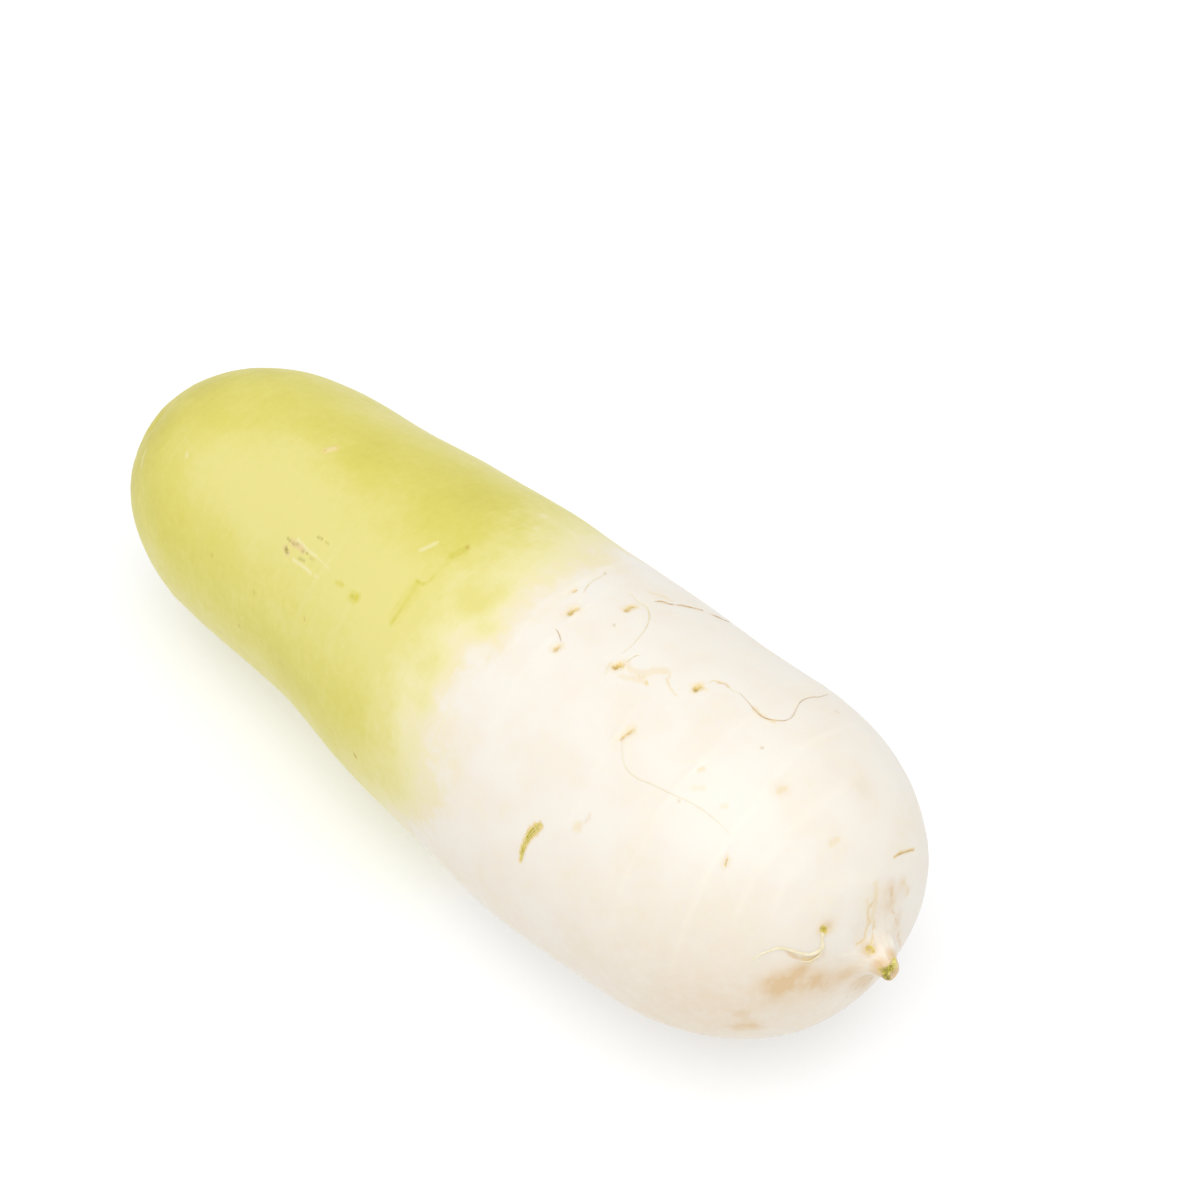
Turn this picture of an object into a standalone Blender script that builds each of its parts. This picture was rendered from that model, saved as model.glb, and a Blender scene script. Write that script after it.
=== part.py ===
"""A green-shouldered daikon radish, its leaves cut off at the crown, lying on its side.

The root grew as one piece, so it is one object, daikon_root. Its axis runs along X, from
the cut crown at -X to the broken stub of the tap root at +X, and it lies on Z = 0 on the
small flat that its own weight presses. Along is measured from the crown cut, and around is
the angle about the axis, from +Y (0 degrees) up to +Z (90 degrees).
"""

import math
import random

import bmesh
import bpy
from mathutils import Matrix, Vector

OBJECT_NAME = "daikon_radish"
NODE_NAME = "daikon_root"
MM = 0.001

# The body, in mm: a rounded shoulder, a barrel that widens to the belly, and a blunt dome.
BODY_LENGTH = 233.0
SHOULDER_LENGTH, SHOULDER_ARC, SHOULDER_SQUARENESS = 35.5, 40.5, 2.2
NECK_ALONG, NECK_RADIUS = 12.5, 32.1
BELLY_ALONG, BELLY_RADIUS = 176.5, 42.0
DOME_LENGTH, DOME_SQUARENESS = 62.5, 2.7
DOME_START = BODY_LENGTH - DOME_LENGTH

# The crown, in mm: a face cut square to the axis, dished, inside a ring of leaf bases.
# Each base left a shallow scar on the shoulder, one golden angle on from the one before.
CROWN_DISH, CROWN_DISH_RADIUS = 1.3, 12.5
CROWN_EDGE = ((0.6, 2.2), (0.0, 0.8))  # (depth, distance in from the rim)
LEAF_BASES, LEAF_BASE_RELIEF, LEAF_BASE_REACH = 7, 0.7, 7.0
LEAF_BASE_MIDDLE, LEAF_BASE_DRIFT = 0.55, 0.6  # even them out, and space them unevenly
LEAF_SCAR_ALONG, LEAF_SCAR_STEP, LEAF_SCAR_SIZE = 3.2, 0.7, Vector((3.6, 11.0, 1.9))
LEAF_SCAR_START, GOLDEN_ANGLE = 20.0, 137.5

# The stub of the tap root, in mm: a short leaning cone, torn off at its end.
STUB_LENGTH, STUB_BASE_RADIUS, STUB_TIP_RADIUS = 8.0, 6.2, 1.9
STUB_HOLLOWNESS, STUB_DISH = 1.5, 0.5
STUB_LEAN, STUB_CURVE = Vector((0.0, -1.9, 0.0)), 1.3

# Sideways bend of the axis: (along, offset to +Y), in mm.
AXIS_BEND = ((0, -1.2), (60, 0.9), (120, -0.3), (180, -0.8), (BODY_LENGTH, 2.7))

# Slow swells and hollows of the skin: (along mm, around degrees, height mm, length mm).
SWELLS = (
    (37, 205, 0.4, 9), (76, 202, -1.8, 18), (152, 205, 0.9, 15), (186, 212, -1.2, 12),
    (62, 32, -1.1, 12), (108, 36, 0.8, 12), (168, 32, -0.4, 9), (96, 110, 0.5, 30),
    (196, 34, 0.7, 13), (221, 12, -0.9, 8), (5, 165, 0.7, 8),
    (60, 300, 0.6, 26), (140, 320, -0.5, 30), (205, 120, 0.4, 16),
)
SWELL_SPREAD = 34.0  # degrees

# Pits where side roots broke off: (along mm, around degrees, width mm).
PITS = (
    (146, 90, 3.0), (153, 76, 3.0), (151, 104, 2.6), (165, 96, 4.0), (182, 86, 3.4),
    (179, 111, 3.4), (224, 95, 2.4), (212, 128, 2.6), (230, 130, 3.4), (232.8, 119, 2.8),
)
HIDDEN_PITS, HIDDEN_ROW_AROUND, HIDDEN_ROW_SPREAD = 9, 318.0, 20.0
HIDDEN_PITS_ALONG = (138.0, 222.0)
PIT_LENGTH_SHARE, PIT_DEPTH_SHARE = 0.62, 0.34
SCAR_SIDES, SCAR_RINGS = 10, 6

# An old crack across the grain: its length around, width along and depth, in mm.
GASH_ALONG, GASH_AROUND, GASH_SIZE = 172.0, 155.0, Vector((3.2, 11.0, 2.0))

# How it lies: the tail end rides higher, and the flat is this deep.
TILT = math.radians(2.7)
FLAT_DEPTH = 0.85

# Rows of the turned skin, and how much closer together they are towards the crown.
SHOULDER_ROWS, SHOULDER_CROWDING = 9, 1.6
BARREL_ROWS, DOME_ROWS, STUB_ROWS = 18, 18, 7
SIDES = 64
SKIN_GREEN, SKIN_ROUGHNESS = (0.74, 0.72, 0.30, 1.0), 0.42
SEED = 11


def smooth_step(value):
    value = min(max(value, 0.0), 1.0)
    return value * value * (3 - 2 * value)


def through(points, at):
    """A smooth curve through (position, value) points, level at both ends."""
    for (left, low), (right, high) in zip(points, points[1:]):
        if at <= right:
            return low + (high - low) * smooth_step((at - left) / (right - left))
    return points[-1][1]


def rounding(reach, squareness):
    """Share of the full radius left at a share of the way to the end of a rounded end."""
    return max(1 - max(reach, 0.0) ** squareness, 0.0) ** (1 / squareness)


def body_radius(along):
    """Radius of the turned body, in mm."""
    quarter = (along - NECK_ALONG) / (BELLY_ALONG - NECK_ALONG) * math.pi / 2
    widening = math.sin(min(quarter, math.pi / 2))
    radius = NECK_RADIUS + (BELLY_RADIUS - NECK_RADIUS) * widening
    radius *= rounding((SHOULDER_LENGTH - along) / SHOULDER_ARC, SHOULDER_SQUARENESS)
    return radius * rounding((along - DOME_START) / DOME_LENGTH, DOME_SQUARENESS)


def crown_profile():
    """The cut face, from its middle out to the rim."""
    rim = body_radius(0)
    face = [(CROWN_DISH, CROWN_DISH_RADIUS * share) for share in (0, 0.4, 0.75, 1.0)]
    return face + [(depth, rim - inset) for depth, inset in CROWN_EDGE]


def body_profile():
    """The skin, with its stations closer together where it turns."""
    shoulder = [
        SHOULDER_LENGTH * (row / SHOULDER_ROWS) ** SHOULDER_CROWDING
        for row in range(1, SHOULDER_ROWS)
    ]
    row_length = (DOME_START - SHOULDER_LENGTH) / BARREL_ROWS
    barrel = [SHOULDER_LENGTH + row * row_length for row in range(BARREL_ROWS)]
    dome = []
    for row in range(DOME_ROWS):
        turn = row / DOME_ROWS * math.pi / 2
        dome.append(DOME_START + DOME_LENGTH * math.sin(turn) ** (2 / DOME_SQUARENESS))
    stations = shoulder + barrel + dome
    return [(along, body_radius(along)) for along in stations]


def stub_profile():
    """The tap root's stub: a hollow-sided cone with a torn, dished end."""
    points = []
    for row in range(STUB_ROWS + 1):
        share = row / STUB_ROWS
        widening = (STUB_BASE_RADIUS - STUB_TIP_RADIUS) * (1 - share) ** STUB_HOLLOWNESS
        points.append((BODY_LENGTH + STUB_LENGTH * share, STUB_TIP_RADIUS + widening))
    dish = BODY_LENGTH + STUB_LENGTH - STUB_DISH
    return points + [(dish, STUB_TIP_RADIUS / 2), (dish, 0.0)]


def axis_at(along):
    """Where the middle of the root is, off the straight axis."""
    lean = max(along - BODY_LENGTH, 0.0) / STUB_LENGTH
    return Vector((0.0, through(AXIS_BEND, along), 0.0)) + STUB_LEAN * lean**STUB_CURVE


def swelling(along, around):
    """Height of the skin over the turned shape, around in degrees."""
    height = 0.0
    for at_along, at_around, swell, length in SWELLS:
        turn = (around - at_around + 180) % 360 - 180
        height += swell * math.exp(
            -(((along - at_along) / length) ** 2) - (turn / SWELL_SPREAD) ** 2
        )
    return height


def leaf_base_relief(along, around):
    """The scalloped ring of cut leaf bases round the crown."""
    fade = 1 - smooth_step(along / LEAF_BASE_REACH)
    turn = math.radians(around)
    wave = abs(math.sin(turn * LEAF_BASES / 2 + LEAF_BASE_DRIFT * math.sin(turn)))
    return LEAF_BASE_RELIEF * fade * (wave - LEAF_BASE_MIDDLE)


def grown(along, around, radius):
    """Moves a point of the turned shape, in mm, to where the grown root has it, in metres."""
    share = min(radius / NECK_RADIUS, 1.0)
    radius += swelling(along, around) * share
    if radius > CROWN_DISH_RADIUS and along < LEAF_BASE_REACH:
        radius += leaf_base_relief(along, around)
    turn = math.radians(around)
    spoke = Vector((0.0, math.cos(turn), math.sin(turn))) * radius
    return (Vector((along, 0.0, 0.0)) + axis_at(along) + spoke) * MM


def new_object(name, mesh, collection):
    made = bpy.data.objects.new(name, mesh)
    collection.objects.link(made)
    return made


def turned_mesh(collection):
    """The profile turned about X."""
    points = crown_profile() + body_profile() + stub_profile()
    outline = bpy.data.meshes.new("root_profile")
    outline.from_pydata(
        [(along * MM, radius * MM, 0.0) for along, radius in points],
        [(index, index + 1) for index in range(len(points) - 1)],
        [],
    )
    turned = new_object("root_profile", outline, collection)
    screw = turned.modifiers.new("turn", "SCREW")
    screw.axis = "X"
    screw.steps = SIDES
    screw.render_steps = SIDES
    screw.use_merge_vertices = True
    screw.merge_threshold = 0.00001
    evaluated = turned.evaluated_get(bpy.context.evaluated_depsgraph_get())
    mesh = bpy.data.meshes.new_from_object(evaluated)
    bpy.data.objects.remove(turned)
    return mesh


def grow(mesh):
    for vertex in mesh.vertices:
        along, y, z = vertex.co / MM
        vertex.co = grown(along, math.degrees(math.atan2(z, y)), math.hypot(y, z))


def face_outwards(mesh):
    shape = bmesh.new()
    shape.from_mesh(mesh)
    bmesh.ops.recalc_face_normals(shape, faces=shape.faces)
    shape.to_mesh(mesh)
    shape.free()


def lie_down(root):
    """Tilts the root, centres it over the origin and sinks its lowest line to the flat's depth."""
    turn = Matrix.Rotation(-TILT, 4, "Y")
    points = [turn @ vertex.co for vertex in root.data.vertices]
    low = Vector([min(point[axis] for point in points) for axis in range(3)])
    high = Vector([max(point[axis] for point in points) for axis in range(3)])
    middle = (low + high) / 2
    root.rotation_euler = (0.0, -TILT, 0.0)
    root.location = (-middle.x, -middle.y, -low.z - FLAT_DEPTH * MM)


def skin_place(along, around):
    """A matrix on the skin: X runs along the root, Y around it and Z out of it."""
    nudge = 0.1  # mm along, and degrees around
    here = grown(along, around, body_radius(along))
    ahead = grown(along + nudge, around, body_radius(along + nudge)) - here
    beside = grown(along, around + nudge, body_radius(along)) - here
    ahead.normalize()
    out = ahead.cross(beside).normalized()
    beside = out.cross(ahead)
    place = Matrix((ahead, beside, out)).transposed().to_4x4()
    place.translation = here
    return place


def all_pits():
    """The pits of the row on top, and those of the row low on the far side."""
    chance = random.Random(SEED)
    pits = list(PITS)
    first, last = HIDDEN_PITS_ALONG
    for index in range(HIDDEN_PITS):
        along = first + (last - first) * (index + chance.uniform(-0.3, 0.3)) / (HIDDEN_PITS - 1)
        around = HIDDEN_ROW_AROUND + chance.uniform(-1, 1) * HIDDEN_ROW_SPREAD
        pits.append((along, around, chance.uniform(2.4, 3.4)))
    return pits


def all_scars():
    """Every scar that is cut into the skin: (along, around, size along, around and through it)."""
    scars = [(GASH_ALONG, GASH_AROUND, GASH_SIZE)]
    for along, around, width in all_pits():
        size = Vector((PIT_LENGTH_SHARE, 1.0, PIT_DEPTH_SHARE * 2)) * width
        scars.append((along, around, size))
    for index in range(LEAF_BASES):
        around = LEAF_SCAR_START + index * GOLDEN_ANGLE
        scars.append((LEAF_SCAR_ALONG + index * LEAF_SCAR_STEP, around, LEAF_SCAR_SIZE))
    return scars


def scar_cutters(collection):
    """A flat ellipsoid for each scar, all in one mesh."""
    shape = bmesh.new()
    for along, around, size in all_scars():
        bmesh.ops.create_uvsphere(
            shape,
            u_segments=SCAR_SIDES,
            v_segments=SCAR_RINGS,
            radius=0.5,
            matrix=skin_place(along, around) @ Matrix.Diagonal(size * MM).to_4x4(),
        )
    mesh = bpy.data.meshes.new("scar_cutters")
    shape.to_mesh(mesh)
    shape.free()
    return new_object("scar_cutters", mesh, collection)


def floor_cutter(collection):
    """A block whose top face is the surface that the root lies on."""
    size = Vector((BODY_LENGTH * 1.5, BELLY_RADIUS * 4, BELLY_RADIUS)) * MM
    height = size.z
    shape = bmesh.new()
    place = Matrix.Translation((0, 0, -height / 2)) @ Matrix.Diagonal(size).to_4x4()
    bmesh.ops.create_cube(shape, size=1.0, matrix=place)
    mesh = bpy.data.meshes.new("floor_cutter")
    shape.to_mesh(mesh)
    shape.free()
    return new_object("floor_cutter", mesh, collection)


def cut(root, cutter):
    cutter.hide_render = True
    cutter.display_type = "WIRE"
    modifier = root.modifiers.new(cutter.name, "BOOLEAN")
    modifier.operation = "DIFFERENCE"
    modifier.object = cutter


def skin_material():
    material = bpy.data.materials.new("daikon_skin")
    material.use_nodes = True
    principled = material.node_tree.nodes["Principled BSDF"]
    principled.inputs["Base Color"].default_value = SKIN_GREEN
    principled.inputs["Roughness"].default_value = SKIN_ROUGHNESS
    principled.inputs["Metallic"].default_value = 0.0
    return material


def new_collection(name):
    made = bpy.data.collections.new(name)
    bpy.context.scene.collection.children.link(made)
    return made


def main():
    for leftover in list(bpy.data.objects):
        bpy.data.objects.remove(leftover)
    parts = new_collection(OBJECT_NAME)
    cutters = new_collection("cutters")
    mesh = turned_mesh(cutters)
    grow(mesh)
    face_outwards(mesh)
    mesh.name = NODE_NAME
    root = new_object(NODE_NAME, mesh, parts)
    root.data.materials.append(skin_material())
    lie_down(root)
    scars = scar_cutters(cutters)
    scars.rotation_euler = root.rotation_euler
    scars.location = root.location
    cut(root, scars)
    cut(root, floor_cutter(cutters))
    mesh.shade_smooth()


main()
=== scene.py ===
"""The looks of a green-shouldered daikon radish: skin, scars, rootlets and a pale studio.

A place on the root is (along, around): mm from the crown cut, and degrees about the root's
own axis, from +Y up to +Z. Root coordinates have X along that axis and are in mm.
"""

import math
import random

import bpy
import numpy as np
from bpy.props import (
    FloatProperty, FloatVectorProperty, IntProperty, PointerProperty,
)
from bpy.types import Operator, Panel, PropertyGroup
from mathutils import Matrix, Vector, noise
from mathutils.bvhtree import BVHTree


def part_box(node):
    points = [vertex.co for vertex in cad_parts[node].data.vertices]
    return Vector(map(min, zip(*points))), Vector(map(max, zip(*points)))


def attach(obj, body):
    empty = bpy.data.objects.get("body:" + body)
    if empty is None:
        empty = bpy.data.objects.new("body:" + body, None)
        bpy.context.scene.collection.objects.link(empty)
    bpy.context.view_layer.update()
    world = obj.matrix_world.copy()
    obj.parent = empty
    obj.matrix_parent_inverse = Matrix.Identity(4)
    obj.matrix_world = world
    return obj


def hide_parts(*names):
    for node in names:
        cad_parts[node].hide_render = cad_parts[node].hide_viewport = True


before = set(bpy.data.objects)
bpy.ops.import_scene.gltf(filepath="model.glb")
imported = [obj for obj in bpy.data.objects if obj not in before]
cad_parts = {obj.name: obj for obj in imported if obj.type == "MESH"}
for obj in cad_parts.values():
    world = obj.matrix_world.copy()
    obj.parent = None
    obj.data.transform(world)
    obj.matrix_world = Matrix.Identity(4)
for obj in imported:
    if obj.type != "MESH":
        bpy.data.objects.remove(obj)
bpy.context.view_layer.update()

bl_info = {
    "name": "Daikon Radish",
    "version": (1, 0, 0),
    "blender": (4, 5, 0),
    "location": "3D View > Sidebar > Daikon",
    "description": "Builds the skin, scars and rootlets of a daikon radish, and a studio for it",
    "category": "Object",
}

SOLID = "daikon_root"
MM = 0.001
MM_PER_DEGREE = 0.7  # round the thick part of the root

# The root's own axis: it starts at the middle of the crown cut, bends a little to each side
# (along, offset to +Y in mm), and its tail end is tipped up.
AXIS_START = Vector((-120.04, 0.90, 34.0))
AXIS_TILT = math.radians(2.7)
AXIS_BEND = ((0, -1.2), (60, 0.9), (120, -0.3), (180, -0.8), (233, 2.7))
END_SIDE = AXIS_BEND[-1][1]
BODY_LENGTH, STUB_LENGTH = 233.0, 8.0
STUB_LEAN = Vector((0.0, -1.9, 0.0))
CROWN_RADIUS = 16.5

# Rays that find the solid's surface fan out from these two points on the axis, and go
# straight out between them. The stub's rays come from its own middle line.
CROWN_FAN_ALONG, DOME_FAN_ALONG = 30.0, 188.0
DOME_FAN_END = math.radians(7.6)
CROWN_ROWS, BARREL_ROWS, DOME_ROWS, STUB_ROWS, STUB_END_ROWS = 66, 130, 62, 12, 4
# Faces are split in three, along the root within FINE_TAIL mm of the stub's axis and within
# FINE_RIM mm of the crown's rim, and both ways round each mark.
FINE_TAIL, FINE_RIM, FINE_CUTS = 20.0, 3.4, 2
# Where the stub's rows start above its foot and stop short of its tip, and how far the
# middle of its end is sunk.
STUB_FOOT, STUB_TIP, STUB_HOLLOW = 0.5, 0.2, 0.6
FOOT_REACH, FOOT_RADIUS, FOOT_PASSES = 2.2, 11.0, 18  # of the smoothing where the dome ends
# Blurs of the solid's facets, in rows and columns.
CRISP_BLUR, STUB_BLUR = (0.7, 1.6), (0.4, 5.0)
RIM_ROW, SHOULDER_ROWS = 0.36 * CROWN_ROWS, 0.4 * CROWN_ROWS
# How far round a scar, the split and a small mark the faces are finer.
PIT_REACH, GASH_REACH, MARK_REACH = 1.6, 3.4, 0.9

# Where the green of the part that grew above the soil ends: (around, along).
GREEN_EDGE = (
    (0, 126), (56, 129), (75, 132.5), (91, 133), (103, 130), (114, 131), (126, 131.5),
    (137, 131), (150, 133.5), (166, 139), (180, 133), (192, 124), (240, 127), (300, 129),
)

# Scars of side roots on the side that shows: the points across each scar from its deep end,
# its width and depth in mm, and how dark it is.
TOP_PITS = (
    (((145.8, 92.2), (145.5, 90.3), (145.9, 89.2)), 2.2, 0.55, 0.7),
    (((141.2, 85.2), (141.2, 83.6)), 1.2, 0.2, 0.2),
    (((153.2, 78.5), (152.8, 76.2), (153.1, 74.6)), 2.0, 0.5, 0.6),
    (((150.9, 104.4), (150.9, 103.2)), 1.9, 0.45, 0.4),
    (((164.6, 97.6), (164.8, 96.4), (165.4, 95.6)), 2.4, 0.75, 1.2),
    (((181.6, 87.2), (181.5, 85.6), (181.8, 84.9)), 2.1, 0.6, 1.0),
    (((178.7, 113.7), (178.7, 112.2), (179.2, 109.5)), 1.8, 0.4, 0.3),
    (((212.6, 127.9), (212.2, 126.0), (212.2, 125.2)), 1.4, 0.1, 0.0),
)
# Scars on the tail's end: (radius, around) of the middle, then as above.
END_PITS = (((18.5, 131.0), 2.0, 0.7, 0.5), ((5.0, 128.0), 1.4, 0.5, 0.35))
END_PIT_RIMS = ((0.3, 0.6), (0.55, 0.2))  # radius and width of the green rim of each
# The row of scars under the root: how many, and where.
LOW_PITS, LOW_PITS_AROUND, LOW_PITS_SPREAD = 9, 318.0, 20.0
LOW_PITS_ALONG = (138.0, 222.0)

# Fine rings of growth: (around, along) points of each, and its height in mm.
GROWTH_RINGS = (
    (((40, 204), (83, 206.8), (110, 210), (143, 211.3), (164, 211), (190, 212)), 0.16),
    (((70, 194), (99, 195.5), (121, 196), (150, 197), (180, 197)), 0.12),
    (((50, 136), (78, 139.7), (99, 140), (112, 142), (134, 143)), 0.12),
    (((58, 143), (90, 147), (118, 149), (140, 151)), 0.12),
    (((96, 175), (120, 178), (150, 180)), 0.10),
    (((60, 216), (90, 217.5), (120, 218), (150, 219)), 0.12),
    (((104, 222.3), (112, 222.7), (120, 222.4), (129, 223.3), (140, 224)), 0.12),
    (((88, 229), (98, 228.3), (111, 227.1), (124, 226.5), (140, 225.5)), 0.12),
    (((72, 230.4), (90, 229.7), (108, 228.8), (130, 227.8)), 0.12),
)
LOOSE_RINGS, FAR_FLECKS = 34, 46  # rings all over, and flecks on the far side

# The two edges of the old split in the skin, which runs across the root.
GASH_OUTER = ((172.9, 147.9), (171.4, 150.2), (170.7, 153.4), (170.4, 159.2), (170.9, 163.4))
GASH_INNER = ((173.8, 148.5), (173.5, 150.3), (172.1, 154.3), (171.4, 158.5), (171.2, 162.6))

# Creases that run up the dome from the stub, as (radius, around).
TAIL_CREASES = (
    ((7.9, 130), (6.8, 118), (7.7, 108), (8.5, 100), (9.0, 95)),
    ((5.3, 118), (5.7, 104), (6.8, 93), (8.4, 89)),
    ((9.0, 95), (11.0, 96), (12.9, 91), (13.6, 84)),
)
# Torn face of the stub's core, as (radius, around): its upper corner, and its far edge.
CORE_CORNER = (1.9, 76)
CORE_EDGE = ((3.7, 158), (3.8, 168), (3.8, 178), (3.5, 188), (3.2, 197))
CORE_HEART = ((2.7, 134), (3.2, 150), (3.6, 163), (3.6, 178), (3.3, 192))
STUB_BULGE, STUB_FOLDS = (3.3, 46), 17
CROWN_BUNDLES, CROWN_RAYS = 7, 60  # lobes of the ring of bundles, and rays in the cut face

# Where small marks need finer faces: a line of (along, around) points, and the reach in mm.
FINE_AREAS = (
    (((73, 123), (75, 131), (86, 131)), 4.5), (((79, 122.6), (84, 122.3)), 2.0),
    (((92, 130), (100, 130)), 2.5), (((112.6, 129), (112.5, 121), (113.2, 110)), 2.0),
    (((61, 96), (63, 92)), 2.5), (((113, 94), (113, 96)), 2.5), (((167, 95), (173, 92)), 4.0),
)

SEED = 23
WHITE = (1.0, 1.0, 1.0, 1.0)
FLOOR_SIZE, SENSOR_WIDTH = 6.0, 36.0  # in metres, and in mm
# The softbox, in metres: how far it stands towards the camera, to its left, and up.
SOFTBOX_TOWARDS, SOFTBOX_LEFT, SOFTBOX_UP, SOFTBOX_SIZE = 0.75, 0.1, 2.4, 2.4
RING_STRETCH = 0.09  # how slowly the noise of the rings changes round the root
PALE_SHARE = 0.5  # how strongly a pale line covers the skin


def linear(hex_colour):
    """sRGB hex, such as #E5DB70, as linear RGBA."""
    channels = [int(hex_colour[start:start + 2], 16) / 255 for start in (1, 3, 5)]
    return tuple(
        value / 12.92 if value <= 0.04045 else ((value + 0.055) / 1.055) ** 2.4
        for value in channels
    ) + (1.0,)


def colour_property(name, description, hex_colour):
    """A colour of the sidebar, from sRGB hex."""
    return FloatVectorProperty(
        name=name, description=description, default=linear(hex_colour),
        subtype="COLOR", size=4, min=0.0, max=1.0,
    )


def length_property(name, description, default):
    """A length of the sidebar, in metres."""
    return FloatProperty(name=name, description=description, default=default, unit="LENGTH")


class DaikonSizes(PropertyGroup):
    """Sizes of what is added to the solid."""

    segments: IntProperty(
        name="Columns", description="Columns of faces around the skin", default=216, min=64,
    )
    facet_blur: length_property(
        "Facet blur", "How far the solid's facets are smoothed away", 3.2 * MM)
    lip_height: length_property(
        "Pit lip", "How far the skin swells round a side root's scar", 0.07 * MM)
    hair_radius: length_property("Hair root radius", "Radius of a dried hair root", 0.11 * MM)
    rootlet_radius: length_property(
        "Rootlet radius", "Radius of the one fresh rootlet at its thick end", 0.8 * MM)
    gloss: FloatProperty(
        name="Skin roughness", description="Roughness of the moist, waxy skin",
        default=0.42, min=0.0, max=1.0, subtype="FACTOR",
    )


class DaikonColours(PropertyGroup):
    """Colours of the root."""

    white: colour_property("White", "Skin that grew under the soil", "#E8E3D9")
    cream: colour_property("Cream", "First tint where white turns to green", "#E6DBBB")
    # The green's colours also stand in for painted shade along its lower edge and a painted
    # highlight along its middle.
    pale_green: colour_property("Pale green", "Where the green thins out", "#DCD384")
    green: colour_property("Green", "Skin that grew above the soil", "#D3CA62")
    deep_green: colour_property("Deep green", "Darker streaks and patches of the green", "#C4B945")
    # This tan also stands in for painted warm shade on the lower side and a painted shadow under
    # the fresh rootlet.
    stain_and_shade: colour_property("Stain", "Tan stain near the tail", "#D8BC93")
    halo: colour_property("Halo", "Yellowed skin round a scar", "#E0C67F")
    scar: colour_property("Scar", "Dry, olive-brown inside of a scar", "#B4953F")
    cork: colour_property("Cork", "Dried leaf bases at the crown", "#A5965E")
    flesh: colour_property("Flesh", "Flesh of the crown cut, gone dull", "#E4D9C2")
    fringe: colour_property("Fringe", "Fresh fibre at a torn edge", "#D3C94E")
    core: colour_property("Core", "Torn core of the tap root", "#948836")


class DaikonStudio(PropertyGroup):
    """The studio: the camera, the lights and the floor."""

    azimuth: FloatProperty(
        name="Azimuth", description="Camera's turn about the object, 0 looks along +Y",
        default=math.radians(47.2), subtype="ANGLE",
    )
    elevation: FloatProperty(
        name="Elevation", description="Camera's height above the horizon",
        default=math.radians(46.0), subtype="ANGLE",
    )
    distance: length_property("Distance", "From the camera to where it looks", 0.75)
    looks_at: FloatVectorProperty(
        name="Looks at", description="The point on the floor at the middle of the view",
        default=(-0.0332, 0.0604, 0.0), subtype="XYZ", unit="LENGTH",
    )
    lens: FloatProperty(
        name="Lens", description="Focal length in mm on a 36 mm sensor", default=87.6,
    )
    key: FloatProperty(name="Key light", description="Power of the large softbox", default=42.5)
    table: FloatProperty(
        name="Table light", description="Light that comes up through the table", default=0.39,
    )
    sky: FloatProperty(name="Fill", description="Strength of the white surroundings", default=0.7)


# --- Places on the root ---------------------------------------------------------------

def smooth_step(value):
    """Eases from 0 to 1, and is level outside them."""
    value = np.clip(value, 0.0, 1.0)
    return value * value * (3 - 2 * value)


def bell(gap, width):
    """1 where the gap is nothing, and soon 0 beyond the width."""
    return np.exp(-((gap / width) ** 2))


def through(points, at):
    """A smooth curve through (position, value) points, level at both ends."""
    for (left, low), (right, high) in zip(points, points[1:]):
        if at <= right:
            return low + (high - low) * float(smooth_step((at - left) / (right - left)))
    return points[-1][1]


def axis_at(along):
    """The middle of the root, in root coordinates."""
    lean = max(along - BODY_LENGTH, 0.0) / STUB_LENGTH
    return Vector((along, through(AXIS_BEND, along), 0.0)) + STUB_LEAN * lean**1.3


def root_matrix():
    """Root coordinates in mm to the frame's metres."""
    place = Matrix.Translation(AXIS_START) @ Matrix.Rotation(-AXIS_TILT, 4, "Y")
    return Matrix.Scale(MM, 4) @ place


def moved(points, matrix):
    """An array of points through a 4x4 matrix."""
    full = np.array(matrix)
    return points @ full[:3, :3].T + full[:3, 3]


def spoke(around, polar=math.pi / 2):
    """A direction in root coordinates; polar is measured from the root's own X axis."""
    turn = math.radians(around)
    side = math.sin(polar)
    return Vector((math.cos(polar), side * math.cos(turn), side * math.sin(turn)))


class Surface:
    """A closed mesh that rays from the axis can find, in root coordinates."""

    def __init__(self, mesh, to_root=Matrix()):
        points = [to_root @ vertex.co for vertex in mesh.vertices]
        faces = [tuple(polygon.vertices) for polygon in mesh.polygons]
        self.tree = BVHTree.FromPolygons(points, faces)

    def hit(self, origin, direction):
        """(point, outward normal, distance) of the surface along a ray."""
        point, normal, _, distance = self.tree.ray_cast(origin, direction)
        if point is None:
            raise RuntimeError(f"no surface from {tuple(origin)} along {tuple(direction)}")
        return point, normal, distance

    def place(self, along, around):
        """(point, outward normal) of the skin at a place."""
        return self.hit(axis_at(along), spoke(around))[:2]

    def end_place(self, side, up):
        """(point, outward normal) of the tail's end, at offsets in mm from the root's axis."""
        start = Vector((BODY_LENGTH + STUB_LENGTH + 10, END_SIDE + side, up))
        return self.hit(start, Vector((-1, 0, 0)))[:2]


def curve_points(points, step, second_scale=1.0):
    """Points a step apart on a Catmull-Rom curve; second_scale is mm per second coordinate."""
    ends = [points[0]] + list(points) + [points[-1]]
    path = []
    for before, start, end, after in zip(ends, ends[1:], ends[2:], ends[3:]):
        reach = math.hypot(end[0] - start[0], (end[1] - start[1]) * second_scale)
        count = max(round(reach / step), 1)
        for index in range(count):
            at = index / count
            path.append(tuple(
                0.5 * (
                    2 * start[axis] + (end[axis] - before[axis]) * at
                    + (2 * before[axis] - 5 * start[axis] + 4 * end[axis] - after[axis]) * at**2
                    + (3 * start[axis] - before[axis] - 3 * end[axis] + after[axis]) * at**3
                )
                for axis in range(2)
            ))
    return path + [tuple(points[-1])]


def side_line(surface, points, step=0.4):
    """(place, normal) pairs of a curve over the skin through (along, around) points."""
    return [surface.place(*point) for point in curve_points(points, step, MM_PER_DEGREE)]


def offset_of(radius, around):
    """(side, up) of a place on the tail's end."""
    turn = math.radians(around)
    return radius * math.cos(turn), radius * math.sin(turn)


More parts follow.
